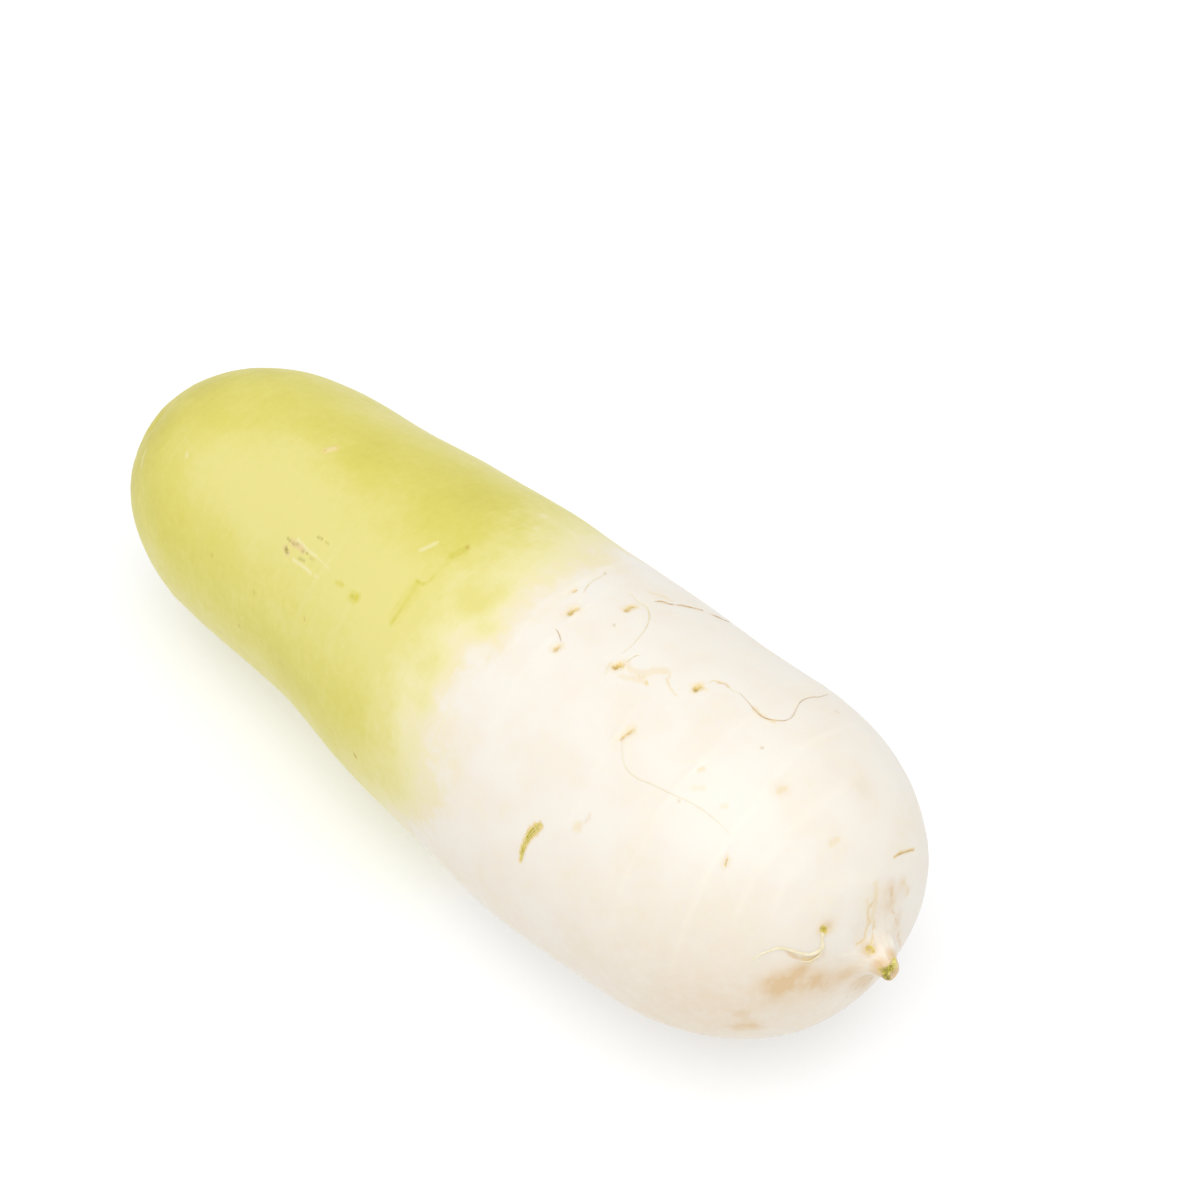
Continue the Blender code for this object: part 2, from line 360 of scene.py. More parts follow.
def end_line(surface, points, step=0.3):
    """(place, normal) pairs of a curve over the tail's end through (radius, around) points."""
    offsets = [offset_of(*point) for point in points]
    return [surface.end_place(*offset) for offset in curve_points(offsets, step)]


def path_of(line):
    """The places of a line, as an array of root coordinates."""
    return np.array([place for place, _ in line])


# --- The skin's base ------------------------------------------------------------------

def row_plan():
    """(origin, polar angle, share of the reach, sunk mm) of each row from crown to tail."""
    rows = []
    for index in range(CROWN_ROWS):
        polar = math.pi - index / CROWN_ROWS * math.pi / 2
        rows.append((axis_at(CROWN_FAN_ALONG), polar, 1.0, 0.0))
    for index in range(BARREL_ROWS):
        share = index / BARREL_ROWS
        along = CROWN_FAN_ALONG + (DOME_FAN_ALONG - CROWN_FAN_ALONG) * share
        rows.append((axis_at(along), math.pi / 2, 1.0, 0.0))
    for index in range(DOME_ROWS):
        share = index / (DOME_ROWS - 1)
        polar = math.pi / 2 + (DOME_FAN_END - math.pi / 2) * share
        rows.append((axis_at(DOME_FAN_ALONG), polar, 1.0, 0.0))
    for index in range(STUB_ROWS):
        share = index / (STUB_ROWS - 1)
        along = BODY_LENGTH + STUB_FOOT + (STUB_LENGTH - STUB_FOOT - STUB_TIP) * share
        rows.append((axis_at(along), math.pi / 2, 1.0, 0.0))
    tip = axis_at(BODY_LENGTH + STUB_LENGTH - STUB_TIP)
    for index in range(STUB_END_ROWS + 1):
        share = 1 - (index + 1) / (STUB_END_ROWS + 1)
        rows.append((tip, math.pi / 2, share, STUB_HOLLOW * (1 - share**2)))
    return rows


def blurred(field, row_width, column_width):
    """A Gaussian blur that runs round the columns and stops at the first and last row."""
    def kernel(width):
        half = max(int(width * 3), 1)
        weights = np.exp(-((np.arange(-half, half + 1) / width) ** 2) / 2)
        return half, weights / weights.sum()

    half, weights = kernel(column_width)
    wide = np.concatenate([field[:, -half:], field, field[:, :half]], axis=1)
    field = np.array([np.convolve(row, weights, "valid") for row in wide])
    half, weights = kernel(row_width)
    tall = np.pad(field, ((half, half), (0, 0)), mode="edge")
    return np.array([np.convolve(column, weights, "valid") for column in tall.T]).T


def skin_grid(surface, segments, blur):
    """Points of the skin, rows by columns, in root coordinates, with the facets smoothed away."""
    rows = row_plan()
    angles = [360.0 * column / segments for column in range(segments)]
    reach = np.array([
        [surface.hit(origin, spoke(around, polar))[2] for around in angles]
        for origin, polar, _, _ in rows
    ])
    last = CROWN_ROWS + BARREL_ROWS + DOME_ROWS
    body = reach[:last]
    crisp = blurred(body, *CRISP_BLUR)
    soft = blurred(body, blur / MM, blur / MM)
    # The crown cut keeps its rim, and the smoothing grows over the shoulder behind it.
    share = (np.arange(last)[:, None] - RIM_ROW) / SHOULDER_ROWS
    body = crisp + (soft - crisp) * smooth_step(share)
    stub = blurred(reach[last:], *STUB_BLUR)
    reach = np.concatenate([body, stub])
    points = np.empty((len(rows), segments, 3))
    for index, (origin, polar, share, sunk) in enumerate(rows):
        for column, around in enumerate(angles):
            point = origin + spoke(around, polar) * (reach[index, column] * share)
            points[index, column] = point - Vector((sunk, 0.0, 0.0))
    return points


def deselect():
    """Leaves no object selected."""
    for chosen in list(bpy.context.selected_objects):
        chosen.select_set(False)


def edit(obj, operator, kind=None, chosen=None, **settings):
    """Runs an edit-mode operator on all of a mesh, or on its chosen vertices or edges."""
    bpy.ops.object.mode_set(mode="EDIT")
    bpy.ops.mesh.select_all(action="SELECT" if kind is None else "DESELECT")
    if kind is not None:
        bpy.ops.mesh.select_mode(type=kind)
        bpy.ops.object.mode_set(mode="OBJECT")
        members = obj.data.vertices if kind == "VERT" else obj.data.edges
        members.foreach_set("select", chosen)
        bpy.ops.object.mode_set(mode="EDIT")
    operator(**settings)
    bpy.ops.object.mode_set(mode="OBJECT")


def values_of(members, name, count=1, kind=np.float32):
    """One attribute of a mesh's members as an array, with a row for each member."""
    values = np.empty(len(members) * count, kind)
    members.foreach_get(name, values)
    return values.reshape(-1, count) if count > 1 else values


def coordinates(mesh):
    """The places of a mesh's vertices."""
    return values_of(mesh.vertices, "co", 3).astype(np.float64)


def set_coordinates(mesh, points):
    """Moves a mesh's vertices to these places."""
    mesh.vertices.foreach_set("co", points.astype(np.float32).ravel())
    mesh.update()


def base_skin(surface, sizes):
    """(a UV sphere whose rows and columns are laid on the solid, the row of each vertex)."""
    segments = sizes.segments
    grid = skin_grid(surface, segments, sizes.facet_blur)
    rings = len(grid)
    deselect()
    bpy.ops.mesh.primitive_uv_sphere_add(segments=segments, ring_count=rings, radius=1.0)
    skin = bpy.context.object
    skin.name = skin.data.name = "daikon_skin"
    points = coordinates(skin.data)
    turn = np.arctan2(points[:, 1], points[:, 0])
    row = np.arccos(np.clip(points[:, 2], -1, 1)) / math.pi * rings
    column = np.round(turn / (2 * math.pi) * segments).astype(int) % segments
    row = np.round(row).astype(int)
    laid = grid[np.clip(row, 0, rings - 1), column]
    laid[row == 0] = grid[0].mean(axis=0)
    laid[row == rings] = grid[-1].mean(axis=0)
    set_coordinates(skin.data, laid)
    edit(skin, bpy.ops.mesh.normals_make_consistent, inside=False)
    return skin, row


def split_rows(skin, row):
    """Splits the rows of faces at the tail and at the crown's rim, where columns are close."""
    points = coordinates(skin.data)
    along, side, up = points.T
    radius = np.hypot(side - np.array([axis_at(station).y for station in along]), up)
    members = np.bincount(row)
    radius = np.bincount(row, radius) / members
    along = np.bincount(row, along) / members
    fine = (along > DOME_FAN_ALONG) & (radius < FINE_TAIL)
    fine |= (along < 6) & (np.abs(radius - CROWN_RADIUS) < FINE_RIM)
    fine[-1] = False
    first, second = row[values_of(skin.data.edges, "vertices", 2, np.int32)].T
    chosen = (first != second) & fine[first] & fine[second]
    edit(skin, bpy.ops.mesh.subdivide, "EDGE", chosen, number_cuts=FINE_CUTS)


def near_path(points, path, reach):
    """(indices, distances) of the points within reach of a path."""
    low, high = path.min(axis=0) - reach, path.max(axis=0) + reach
    near = np.flatnonzero(((points > low) & (points < high)).all(axis=1))
    if not len(near):
        return near, np.empty(0)
    gaps = np.linalg.norm(points[near][:, None] - path[None], axis=2).min(axis=1)
    return near[gaps < reach], gaps[gaps < reach]


def refine(skin, zones):
    """Splits the faces within reach of each path into nine."""
    mesh = skin.data
    middles = values_of(mesh.polygons, "center", 3).astype(np.float64)
    wanted = np.zeros(len(middles), bool)
    for path, reach in zones:
        wanted[near_path(middles, path, reach)[0]] = True
    corners = np.repeat(wanted, values_of(mesh.polygons, "loop_total", kind=np.int32))
    chosen = np.zeros(len(mesh.edges), bool)
    chosen[values_of(mesh.loops, "edge_index", kind=np.int32)[corners]] = True
    edit(skin, bpy.ops.mesh.subdivide, "EDGE", chosen, number_cuts=FINE_CUTS)


# --- Relief and tints of the skin -----------------------------------------------------

def side_pits(surface, chance):
    """(line, width, depth, dark) of each scar: those that show, and a row under the root."""
    pits = [(side_line(surface, points, step=0.25), *rest) for points, *rest in TOP_PITS]
    first, last = LOW_PITS_ALONG
    for index in range(LOW_PITS):
        along = first + (last - first) * (index + chance.uniform(-0.3, 0.3)) / (LOW_PITS - 1)
        around = LOW_PITS_AROUND + chance.uniform(-1, 1) * LOW_PITS_SPREAD
        half, slope = chance.uniform(1.0, 2.2), chance.uniform(-0.4, 0.6)
        points = ((along - slope, around + half), (along + slope, around - half))
        depth, dark = chance.uniform(0.35, 0.75), chance.uniform(0.3, 0.9)
        pits.append((side_line(surface, points, step=0.25), chance.uniform(1.6, 2.2), depth, dark))
    for (radius, around), *rest in END_PITS:
        points = ((radius - 0.5, around), (radius + 0.5, around))
        pits.append((end_line(surface, points, step=0.25), *rest))
    return pits


def gash_lines(surface, shares, step=0.3):
    """Lines along the split, each at a share of the way from its outer to its inner edge."""
    lines = []
    for share in shares:
        points = [
            tuple(Vector(outer).lerp(Vector(inner), share))
            for outer, inner in zip(GASH_OUTER, GASH_INNER)
        ]
        lines.append(side_line(surface, points, step))
    return lines


def core_lines(surface):
    """Lines that fan over the torn face of the stub's core."""
    return [end_line(surface, (CORE_CORNER, point), step=0.25) for point in CORE_EDGE]


def clouds(points, size, seed, octaves=3):
    """Soft noise from about -1 to 1 with features of a size in mm."""
    offset = Vector((seed * 17.3, seed * 5.1, seed * 9.7))
    return np.array([
        noise.fractal(Vector(point) / size + offset, 1.0, 2.0, octaves) for point in points
    ])


class Coat:
    """The skin's vertices with the relief and the tints that are laid on them."""

    TINTS = (
        "green", "tone_and_shading", "scar", "halo", "stain_and_shade", "cork", "flesh", "core", "fringe", "pale",
    )

    def __init__(self, mesh, surface):
        self.surface = surface
        self.points = coordinates(mesh)
        self.normals = values_of(mesh.vertex_normals, "vector", 3).astype(np.float64)
        self.lift = np.zeros(len(self.points))
        self.tints = {name: np.zeros(len(self.points)) for name in self.TINTS}
        self.along = self.points[:, 0]
        middle = np.array([axis_at(along)[1:] for along in self.along])
        offset = self.points[:, 1:] - middle
        self.around = np.degrees(np.arctan2(offset[:, 1], offset[:, 0])) % 360
        self.radius = np.linalg.norm(offset, axis=1)
        self.grain = clouds(self.points, size=1.1, seed=1, octaves=2)

    def gaps_to(self, place):
        """The distance of each vertex from a place."""
        return np.linalg.norm(self.points - np.array(place), axis=1)

    def cover(self, name, amount, where=slice(None)):
        """Raises a tint to an amount where it is lower."""
        self.tints[name][where] = np.maximum(self.tints[name][where], amount)

    def tint(self, name, path, width, strength=1.0, ragged=0.35):
        """Lays a tint along a path, with a ragged edge."""
        near, gaps = near_path(self.points, path, width * (1.5 + ragged))
        edge = width * (1 + ragged * self.grain[near])
        amount = strength * (1 - smooth_step(gaps / np.maximum(edge, 0.05) - 0.35))
        self.cover(name, amount, near)

    def patch(self, name, along, around, size_along, size_around, strength=1.0):
        """Adds a soft patch of a tint, its sizes in mm and in degrees."""
        turn = (self.around - around + 180) % 360 - 180
        gap = ((self.along - along) / size_along) ** 2 + (turn / size_around) ** 2
        self.tints[name] += strength * np.exp(-gap)

    def spot(self, name, place, size, strength):
        """Adds a soft spot of a tint round a place."""
        self.tints[name] += strength * bell(self.gaps_to(place), size)

    def dent(self, path, width, depth, lip=0.0, steep=1.0):
        """Sinks the skin along a path and raises a lip round it."""
        near, gaps = near_path(self.points, path, width * 3)
        share = gaps / (width * (1 + 0.18 * self.grain[near]))
        self.lift[near] -= depth * (1 - smooth_step(share)) ** steep
        self.lift[near] -= depth * 0.16 * bell(share, 1.5)
        self.lift[near] += lip * bell(share - 1.25, 0.32)

    def place_all(self):
        """The vertices with the relief on them."""
        return self.points + self.normals * self.lift[:, None]


def lay_unevenness(coat):
    """Low swells and ripples all over."""
    coat.lift += 0.16 * clouds(coat.points, size=22, seed=2)
    coat.lift += 0.05 * clouds(coat.points, size=7, seed=3)


def lay_rings(coat, chance):
    """Fine ridges across the root, some in full view and some strewn over the whole skin."""
    def ridge(around_from, around_to, along_at, height, width=0.75):
        turn = (coat.around - around_from) % 360
        span = (around_to - around_from) % 360
        inside = smooth_step(turn / 12) * smooth_step((span - turn) / 12) * (turn < span)
        gap = coat.along - along_at
        shape = bell(gap, width) - 0.6 * bell(gap + 1.7 * width, width)
        coat.lift += height * inside * shape
        coat.tints["pale"] += inside * (height / 0.12) * 0.33 * bell(gap, 0.8 * width)

    wobble = 0.35 * clouds(coat.points, size=9, seed=4, octaves=2)
    for points, height in GROWTH_RINGS:
        turns, stations = zip(*points)
        ridge(turns[0], turns[-1], np.interp(coat.around, turns, stations) + wobble, height)
    for _ in range(LOOSE_RINGS):
        start, along = chance.uniform(0, 360), chance.uniform(20, 226)
        reach, slope = chance.uniform(30, 90), chance.uniform(-0.06, 0.06)
        turn = (coat.around - start) % 360
        wave = 1.2 * np.sin(np.radians(turn * 2.1 + along * 13))
        height = chance.uniform(0.03, 0.09) * (0.5 if along < 130 else 1.0)
        ridge(start, start + reach, along + slope * turn + wave, height)


def lay_green(coat):
    """The green fades to white over about 35 mm, in ragged clouds."""
    turns, stations = zip(*GREEN_EDGE, (360, GREEN_EDGE[0][1]))
    edge = np.interp(coat.around, turns, stations)
    edge = edge + 3.5 * clouds(coat.points, size=16, seed=5)
    edge = edge + 2.5 * clouds(coat.points, size=5, seed=6, octaves=2)
    fade = 37 + 5 * clouds(coat.points, size=24, seed=7, octaves=2)
    coat.tints["green"] = np.clip((edge + fade * 0.32 - coat.along) / fade, 0, 1)


# Darker and lighter areas of the green, partly its own patches and partly painted shade along
# its lower edge and a painted highlight along its middle; and painted warm shade on the lower
# side of the white: (along, around), their sizes in mm and in degrees, and their strength.
GREEN_PATCHES_AND_SHADING = (
    (106, 80, 16, 24, 0.3), (88, 66, 24, 20, 0.25), (10, 150, 14, 50, 0.4),
    (8, 85, 14, 55, 0.5), (30, 100, 12, 40, 0.22), (34, 158, 14, 16, 0.2),
    (60, 165, 40, 22, 0.3), (95, 168, 25, 20, 0.3), (62, 126, 22, 16, -0.25),
    (36, 122, 10, 14, -0.15), (105, 128, 16, 20, -0.2), (30, 60, 30, 25, 0.2),
    (65, 80, 26, 13, 0.25), (68, 91, 26, 9, 0.2), (98, 125, 14, 12, -0.15),
    (85, 158, 16, 12, -0.15),
)
# Painted warm shade on the lower side of the white, laid as tan.
LOWER_SIDE_SHADE = (
    (216, 195, 24, 42, 0.3), (165, 190, 45, 34, 0.14), (226, 178, 14, 30, 0.12),
    (200, 290, 60, 60, 0.2),
)
# Blots of green beyond its edge: (along, around) and size.
GREEN_BLOTS, BLOT_STRENGTH = (
    (129.7, 99.8, 3.4), (129.2, 105.8, 2.6), (127, 109.7, 2.8), (124.1, 106.6, 3.5),
    (133.5, 112, 3.0), (128, 131, 4.0), (131, 142, 3.2),
), 0.22


def lay_tones(coat):
    """Broad areas where the green or the white is darker or lighter: the green's own patches,
    painted shade on the lower side of both, and a painted highlight along the green's middle.
    """
    for name, areas in (("tone_and_shading", GREEN_PATCHES_AND_SHADING), ("stain_and_shade", LOWER_SIDE_SHADE)):
        for area in areas:
            coat.patch(name, *area)
    for along, around, size in GREEN_BLOTS:
        coat.spot("green", coat.surface.place(along, around)[0], size, BLOT_STRENGTH)


def lay_pits(coat, pits, lip):
    """Each scar is a funnel, golden inside and darkest in its deep end."""
    for line, width, depth, dark in pits:
        path = path_of(line)
        inner = path[1:-1] if len(path) > 4 else path
        deep = path[:max(len(path) // 3, 1)]
        coat.dent(inner, width * 0.5, depth * 0.55, lip / MM, steep=1.2)
        coat.dent(deep, width * 0.3, depth * 0.3)
        coat.tint("halo", inner, width * 0.75, 0.25 + 0.15 * dark, ragged=0.5)
        coat.tint("halo", inner, width * 0.4, 0.5 + 0.5 * dark, ragged=0.6)
        coat.tint("scar", deep, width * 0.24, 0.8 * dark, ragged=0.8)
    for ((radius, around), *_), (size, width) in zip(END_PITS, END_PIT_RIMS):
        side, up = offset_of(radius, around)
        turns = np.radians(np.arange(0, 360, 30))
        ring = np.array([
            coat.surface.end_place(side + size * math.cos(turn), up + size * math.sin(turn))[0]
            for turn in turns
        ])
        coat.tint("fringe", ring, width, 0.9, ragged=0.8)
        coat.spot("stain_and_shade", ring.mean(axis=0), 1.6, 0.5)


def lay_gash(coat):
    """The old split in the skin: a ragged golden rim round green-yellow torn fibre."""
    rim = np.concatenate([path_of(line) for line in gash_lines(coat.surface, np.linspace(0, 1, 6))])
    inside = np.concatenate([
        path_of(line)[3:-3] for line in gash_lines(coat.surface, (0.35, 0.65))
    ])
    coat.dent(rim, width=0.5, depth=0.14, lip=0.04)
    coat.dent(inside, width=0.4, depth=0.06)
    coat.tint("halo", rim, 0.42, 1.0, ragged=0.8)
    coat.tint("fringe", inside, 0.2, 0.75, ragged=1.6)
    for line in gash_lines(coat.surface, (0.35, 0.65)):
        coat.tint("core", path_of(line)[4:-4], 0.18, 0.7, ragged=1.4)


# Scratches, dots and dry flecks: tint, width, strength, depth, and points.
SCUFFS = (
    ("stain_and_shade", 0.8, 0.65, 0.0, ((73.5, 129.9), (76.0, 129.5), (78.3, 129.6))),
    ("core", 0.35, 0.5, 0.1, ((71.9, 129.7), (73.0, 130.0), (74.8, 129.8))),
    ("core", 0.3, 0.5, 0.1, ((75.4, 129.1), (75.8, 129.2))),
    ("core", 0.32, 0.5, 0.1, ((77.9, 129.8), (78.3, 129.7))),
    ("core", 0.35, 0.55, 0.08, ((79.5, 129.5), (79.9, 129.4))),
    ("core", 0.4, 0.25, 0.05, ((81.1, 129.8), (82.3, 129.5))),
    ("stain_and_shade", 0.8, 0.65, 0.0, ((72.7, 132.9), (74.4, 133.9))),
    ("core", 0.55, 0.75, 0.2, ((73.1, 133.0), (73.9, 133.5))),
    ("core", 0.4, 0.4, 0.08, ((78.2, 132.7), (79.2, 132.3), (80.2, 132.2))),
    ("pale", 0.5, 0.5, -0.03, ((77.0, 134.2), (79.4, 133.9), (81.9, 133.6), (83.8, 133.8))),
    ("pale", 0.4, 0.4, -0.02, ((85.1, 133.5), (86.6, 133.2))),
    ("pale", 0.45, 0.5, -0.03, ((74.9, 127.8), (77.7, 128.1), (80.1, 128.3), (82.5, 128.1))),
    ("pale", 0.35, 0.35, -0.02, ((83.6, 128.2), (86.0, 128.4), (88.0, 128.4))),
    ("core", 0.3, 0.6, 0.08, ((79.5, 122.6), (81.1, 122.3))),
    ("core", 0.25, 0.45, 0.05, ((82.2, 122.3), (83.6, 122.3))),
    ("tone_and_shading", 0.4, 0.35, 0.0, ((92.2, 130.2), (94.1, 129.7))),
    ("fringe", 0.45, 0.9, 0.15, ((99.7, 129.4), (100.0, 130.0))),
    ("tone_and_shading", 0.8, 0.5, 0.0, ((98.6, 130.4), (99.8, 130.0))),
    ("core", 0.3, 0.4, 0.05, ((61.4, 95.7), (61.7, 95.3))),
    ("pale", 0.6, 0.6, 0.0, ((105.4, 104.8), (106.1, 102.3), (106.7, 99.3))),
    ("scar", 0.45, 0.6, 0.15, ((113.0, 94.2), (113.4, 94.6))),
    ("tone_and_shading", 1.4, 0.45, 0.0, ((113.4, 94.6), (113.2, 97), (112.7, 99.6))),
    ("tone_and_shading", 1.0, 0.14, 0.0, ((112.5, 126.6), (112.1, 119.3), (111.5, 115.1))),
    ("tone_and_shading", 0.45, 0.45, 0.0, ((112.6, 128.9), (112.5, 126.6), (112.5, 123.5))),
    ("tone_and_shading", 0.4, 0.3, 0.0, ((112.5, 123.5), (112.1, 119.3), (111.5, 115.1))),
    ("tone_and_shading", 0.45, 0.5, 0.0, ((110.9, 113.5), (112.3, 113.4), (113.1, 112.3), (113.4, 109.6))),
    ("tone_and_shading", 0.7, 0.25, 0.0, ((113.5, 110.5), (113.1, 106.5), (113.3, 102.9))),
    ("halo", 1.3, 0.7, -0.08, ((61.7, 95.5), (62.6, 92.5))),
    ("pale", 0.9, 0.9, -0.06, ((61.9, 94.9), (62.5, 93.1))),
    ("pale", 0.6, 0.4, 0.0, ((12.5, 139.5), (13.0, 143.0), (14.0, 147.0))),
    ("pale", 1.2, 0.4, 0.0, ((113.4, 61.0), (114.0, 62.5))),
    ("pale", 0.9, 0.3, 0.0, ((117.6, 70.6), (118.2, 71.4))),
    ("scar", 0.45, 0.9, 0.15, ((113.2, 179.2), (113.7, 179.8))),
    ("pale", 0.6, 0.5, 0.0, ((29.3, 127.4), (29.7, 128.1))),
    ("scar", 0.4, 0.5, 0.1, ((64.1, 174.3), (64.4, 174.9))),
    ("scar", 0.4, 0.4, 0.1, ((68.8, 154.3), (69.1, 154.8))),
    ("scar", 0.4, 0.4, 0.1, ((51.0, 154.6), (51.3, 155.1))),
    ("scar", 0.4, 0.45, 0.1, ((88.0, 147.6), (88.3, 148.1))),
    # Yellow stains beside the largest scar, and a thin line that leads away from them.
    ("halo", 1.1, 0.3, 0.0, ((167.1, 95.1), (170.4, 94.1), (171.3, 91.2), (173.4, 88.2))),
    ("halo", 0.9, 0.28, 0.0, ((167.4, 98.6), (168.9, 97.5), (171.7, 95.7))),
    ("halo", 0.35, 0.5, 0.0, ((170.0, 94.9), (170.9, 95.4), (171.4, 94.2))),
    ("halo", 0.3, 0.45, 0.0, ((173.0, 89.6), (174.3, 88.4), (175.2, 89.2))),
    ("halo", 0.4, 1.0, 0.0, ((172.7, 95.3), (173.1, 95.7))),
    ("halo", 0.3, 0.5, 0.0, ((175.0, 90.2), (177.7, 92.1), (180.1, 92.8))),
    ("stain_and_shade", 0.4, 0.8, 0.05, ((183.2, 80.0), (184.1, 78.9), (185.2, 79.0))),
    ("halo", 0.6, 0.5, 0.0, ((193.2, 80.0), (195.6, 80.6), (198.3, 79.2))),
    ("scar", 0.35, 0.45, 0.0, ((155.2, 86.0), (155.4, 86.3))),
    ("scar", 0.35, 0.5, 0.0, ((139.8, 70.0), (140.1, 70.4))),
    ("halo", 0.8, 0.35, 0.0, ((150.3, 63.5), (152.5, 61.0), (154.0, 60.0))),
    ("stain_and_shade", 0.5, 0.3, 0.0, ((182.9, 136.6), (183.2, 137.4), (183.0, 139.0))),
    ("halo", 1.2, 0.35, 0.0, ((182.0, 141.3), (181.8, 142.2))),
    ("halo", 0.6, 0.4, 0.0, ((196.6, 107.7), (197.0, 106.8))),
    ("halo", 0.7, 0.22, 0.0, ((198.6, 113.2), (199.8, 111.6))),
    ("halo", 0.6, 0.3, 0.0, ((205.2, 112.9), (205.8, 112.0))),
    ("scar", 0.3, 0.3, 0.0, ((197.7, 118.9), (197.9, 118.5))),
    ("scar", 0.35, 0.5, 0.0, ((201.8, 89.9), (202.0, 89.6))),
    ("halo", 0.7, 0.35, 0.0, ((210.8, 97.8), (211.2, 95.1))),
    ("halo", 0.8, 0.3, 0.06, ((223.5, 96.6), (223.6, 93.3))),
    ("stain_and_shade", 0.5, 0.5, 0.0, ((200.4, 53.1), (200.8, 52.7))),
    ("stain_and_shade", 0.5, 0.7, 0.0, ((154.1, 64.5), (155.8, 61.7), (157.4, 56.3), (158.7, 51.2))),
    ("stain_and_shade", 0.5, 0.7, 0.0, ((159.8, 49.2), (160.6, 47.6), (161.6, 45.1))),
    ("halo", 0.4, 0.9, 0.08, ((229.2, 61.2), (228.9, 55.0), (228.7, 47.8), (228.3, 39.1))),
)


def far_flecks():
    """Rows like those of SCUFFS, strewn over the far side."""
    chance = random.Random(SEED + 4)
    flecks = []
    for _ in range(FAR_FLECKS):
        along, around = chance.uniform(25, 215), chance.uniform(200, 400)
        reach, slope = chance.uniform(0.3, 2.4), chance.uniform(-2, 2)
        kinds = ("scar", "tone_and_shading", "pale") if along < 130 else ("halo", "stain_and_shade", "scar")
        name, width = chance.choice(kinds), chance.uniform(0.4, 0.9)
        flecks.append((name, width, 0.45, 0.0, ((along, around), (along + reach, around + slope))))
    return tuple(flecks)


# Sandy patches, where the tail was rubbed: (along, around), size and strength.
RUBBED_SPOTS = (
    (221.5, 203.4, 2.0, 0.5), (223.6, 201.2, 2.0, 0.45), (224.3, 206.2, 2.0, 0.4),
    (223, 191.3, 2.0, 0.3), (218.6, 69.4, 3.5, 0.2), (213.0, 75.1, 3.0, 0.15),
    (210.9, 97.0, 1.8, 0.2),
)


def lay_scuffs(coat, marks):
    """Lays each mark's tint, sinks the deep ones, and lays the rubbed patches."""
    for name, width, strength, depth, points in marks:
        path = path_of(side_line(coat.surface, points, step=0.3))
        coat.tint(name, path, width, strength, ragged=0.5)
        if depth:
            coat.dent(path, width, depth)
    for along, around, size, strength in RUBBED_SPOTS:
        coat.spot("stain_and_shade", coat.surface.place(along, around)[0], size, strength)


# Stains round the stub: (radius, around), size and strength.
TAIL_STAINS = (
    (22.6, 172, 2.5, 0.55), (15.9, 175, 2.4, 0.6), (20.2, 165, 2.2, 0.4),
    (13.6, 181, 2.2, 0.3), (24.5, 169, 2.3, 0.3), (19.1, 160, 1.8, 0.4),
    (23.5, 175, 5.0, 0.3), (18.5, 172, 6.0, 0.3), (18.3, 127, 1.6, 0.4),
    (5.2, 127, 1.8, 0.5), (8.0, 190, 2.6, 0.45), (12.0, 196, 3.6, 0.3),
    (16.4, 150, 1.4, 0.5), (14.9, 64, 1.6, 0.4), (11.4, 59, 1.8, 0.4),
    (15.3, 47, 1.5, 0.35), (14.1, 33, 1.4, 0.3), (8.2, 25, 1.6, 0.4),
    (8.1, 343, 1.6, 0.45), (6.8, 20, 3.0, 0.25), (7.6, 300, 3.5, 0.3),
    (7.4, 240, 3.5, 0.35), (10.0, 262, 3.0, 0.45), (13.2, 272, 3.0, 0.4), (8.4, 248, 2.5, 0.4),
    (10.0, 75, 5.0, 0.22), (12.0, 50, 4.0, 0.2), (8.0, 120, 3.0, 0.2),
)
# Dry flecks and cracks round the stub, and a painted shadow under the fresh rootlet: tint, width,
# strength, and (radius, around) points.
TAIL_FLECKS_AND_SHADOW = (
    ("halo", 0.8, 0.35, ((17.3, 81), (13.5, 83), (9.3, 92))),
    ("halo", 0.5, 0.35, ((14.9, 92), (12.0, 94), (9.0, 100))),
    ("stain_and_shade", 0.7, 0.9, ((14.4, 62), (13.0, 61))),
    ("stain_and_shade", 0.45, 0.8, ((9.6, 53), (9.2, 50), (8.8, 44))),
    ("stain_and_shade", 0.4, 0.7, ((7.9, 34), (7.6, 24))),
    ("stain_and_shade", 0.7, 0.9, ((7.5, 351), (7.9, 338))),
    ("stain_and_shade", 0.45, 0.7, ((10.2, 330), (12.2, 324), (14.2, 318))),
    ("halo", 0.5, 0.35, ((15.6, 48), (14.6, 36), (13.6, 30))),
    # A painted shadow under the fresh rootlet, laid as tan.
    ("stain_and_shade", 0.6, 0.9, ((23.9, 150), (22.3, 152), (20.7, 153), (18.6, 153), (16.8, 150))),
    ("halo", 0.6, 0.6, ((19.4, 154), (17.6, 155))),
    ("scar", 0.35, 0.5, ((11.7, 276), (11.9, 275))),
    ("scar", 0.3, 0.45, ((12.0, 265), (12.2, 264))),
    ("scar", 0.35, 0.4, ((11.5, 252), (11.8, 252))),
    ("scar", 0.3, 0.4, ((13.5, 244), (13.8, 244))),
)


def lay_tail_marks(coat):
    """Stains, creases and dry flecks round the stub, and a painted shadow under the fresh rootlet.
    """
    for radius, around, size, strength in TAIL_STAINS:
        coat.spot("stain_and_shade", coat.surface.end_place(*offset_of(radius, around))[0], size, strength)
    for points in TAIL_CREASES:
        path = path_of(end_line(coat.surface, points))
        coat.dent(path, width=0.3, depth=0.08, lip=0.04)
        coat.tint("stain_and_shade", path, 0.35, 0.55, ragged=0.9)
        coat.tint("halo", path, 0.4, 0.35, ragged=0.9)
    for name, width, strength, points in TAIL_FLECKS_AND_SHADOW:
        coat.tint(name, path_of(end_line(coat.surface, points)), width, strength, ragged=0.6)


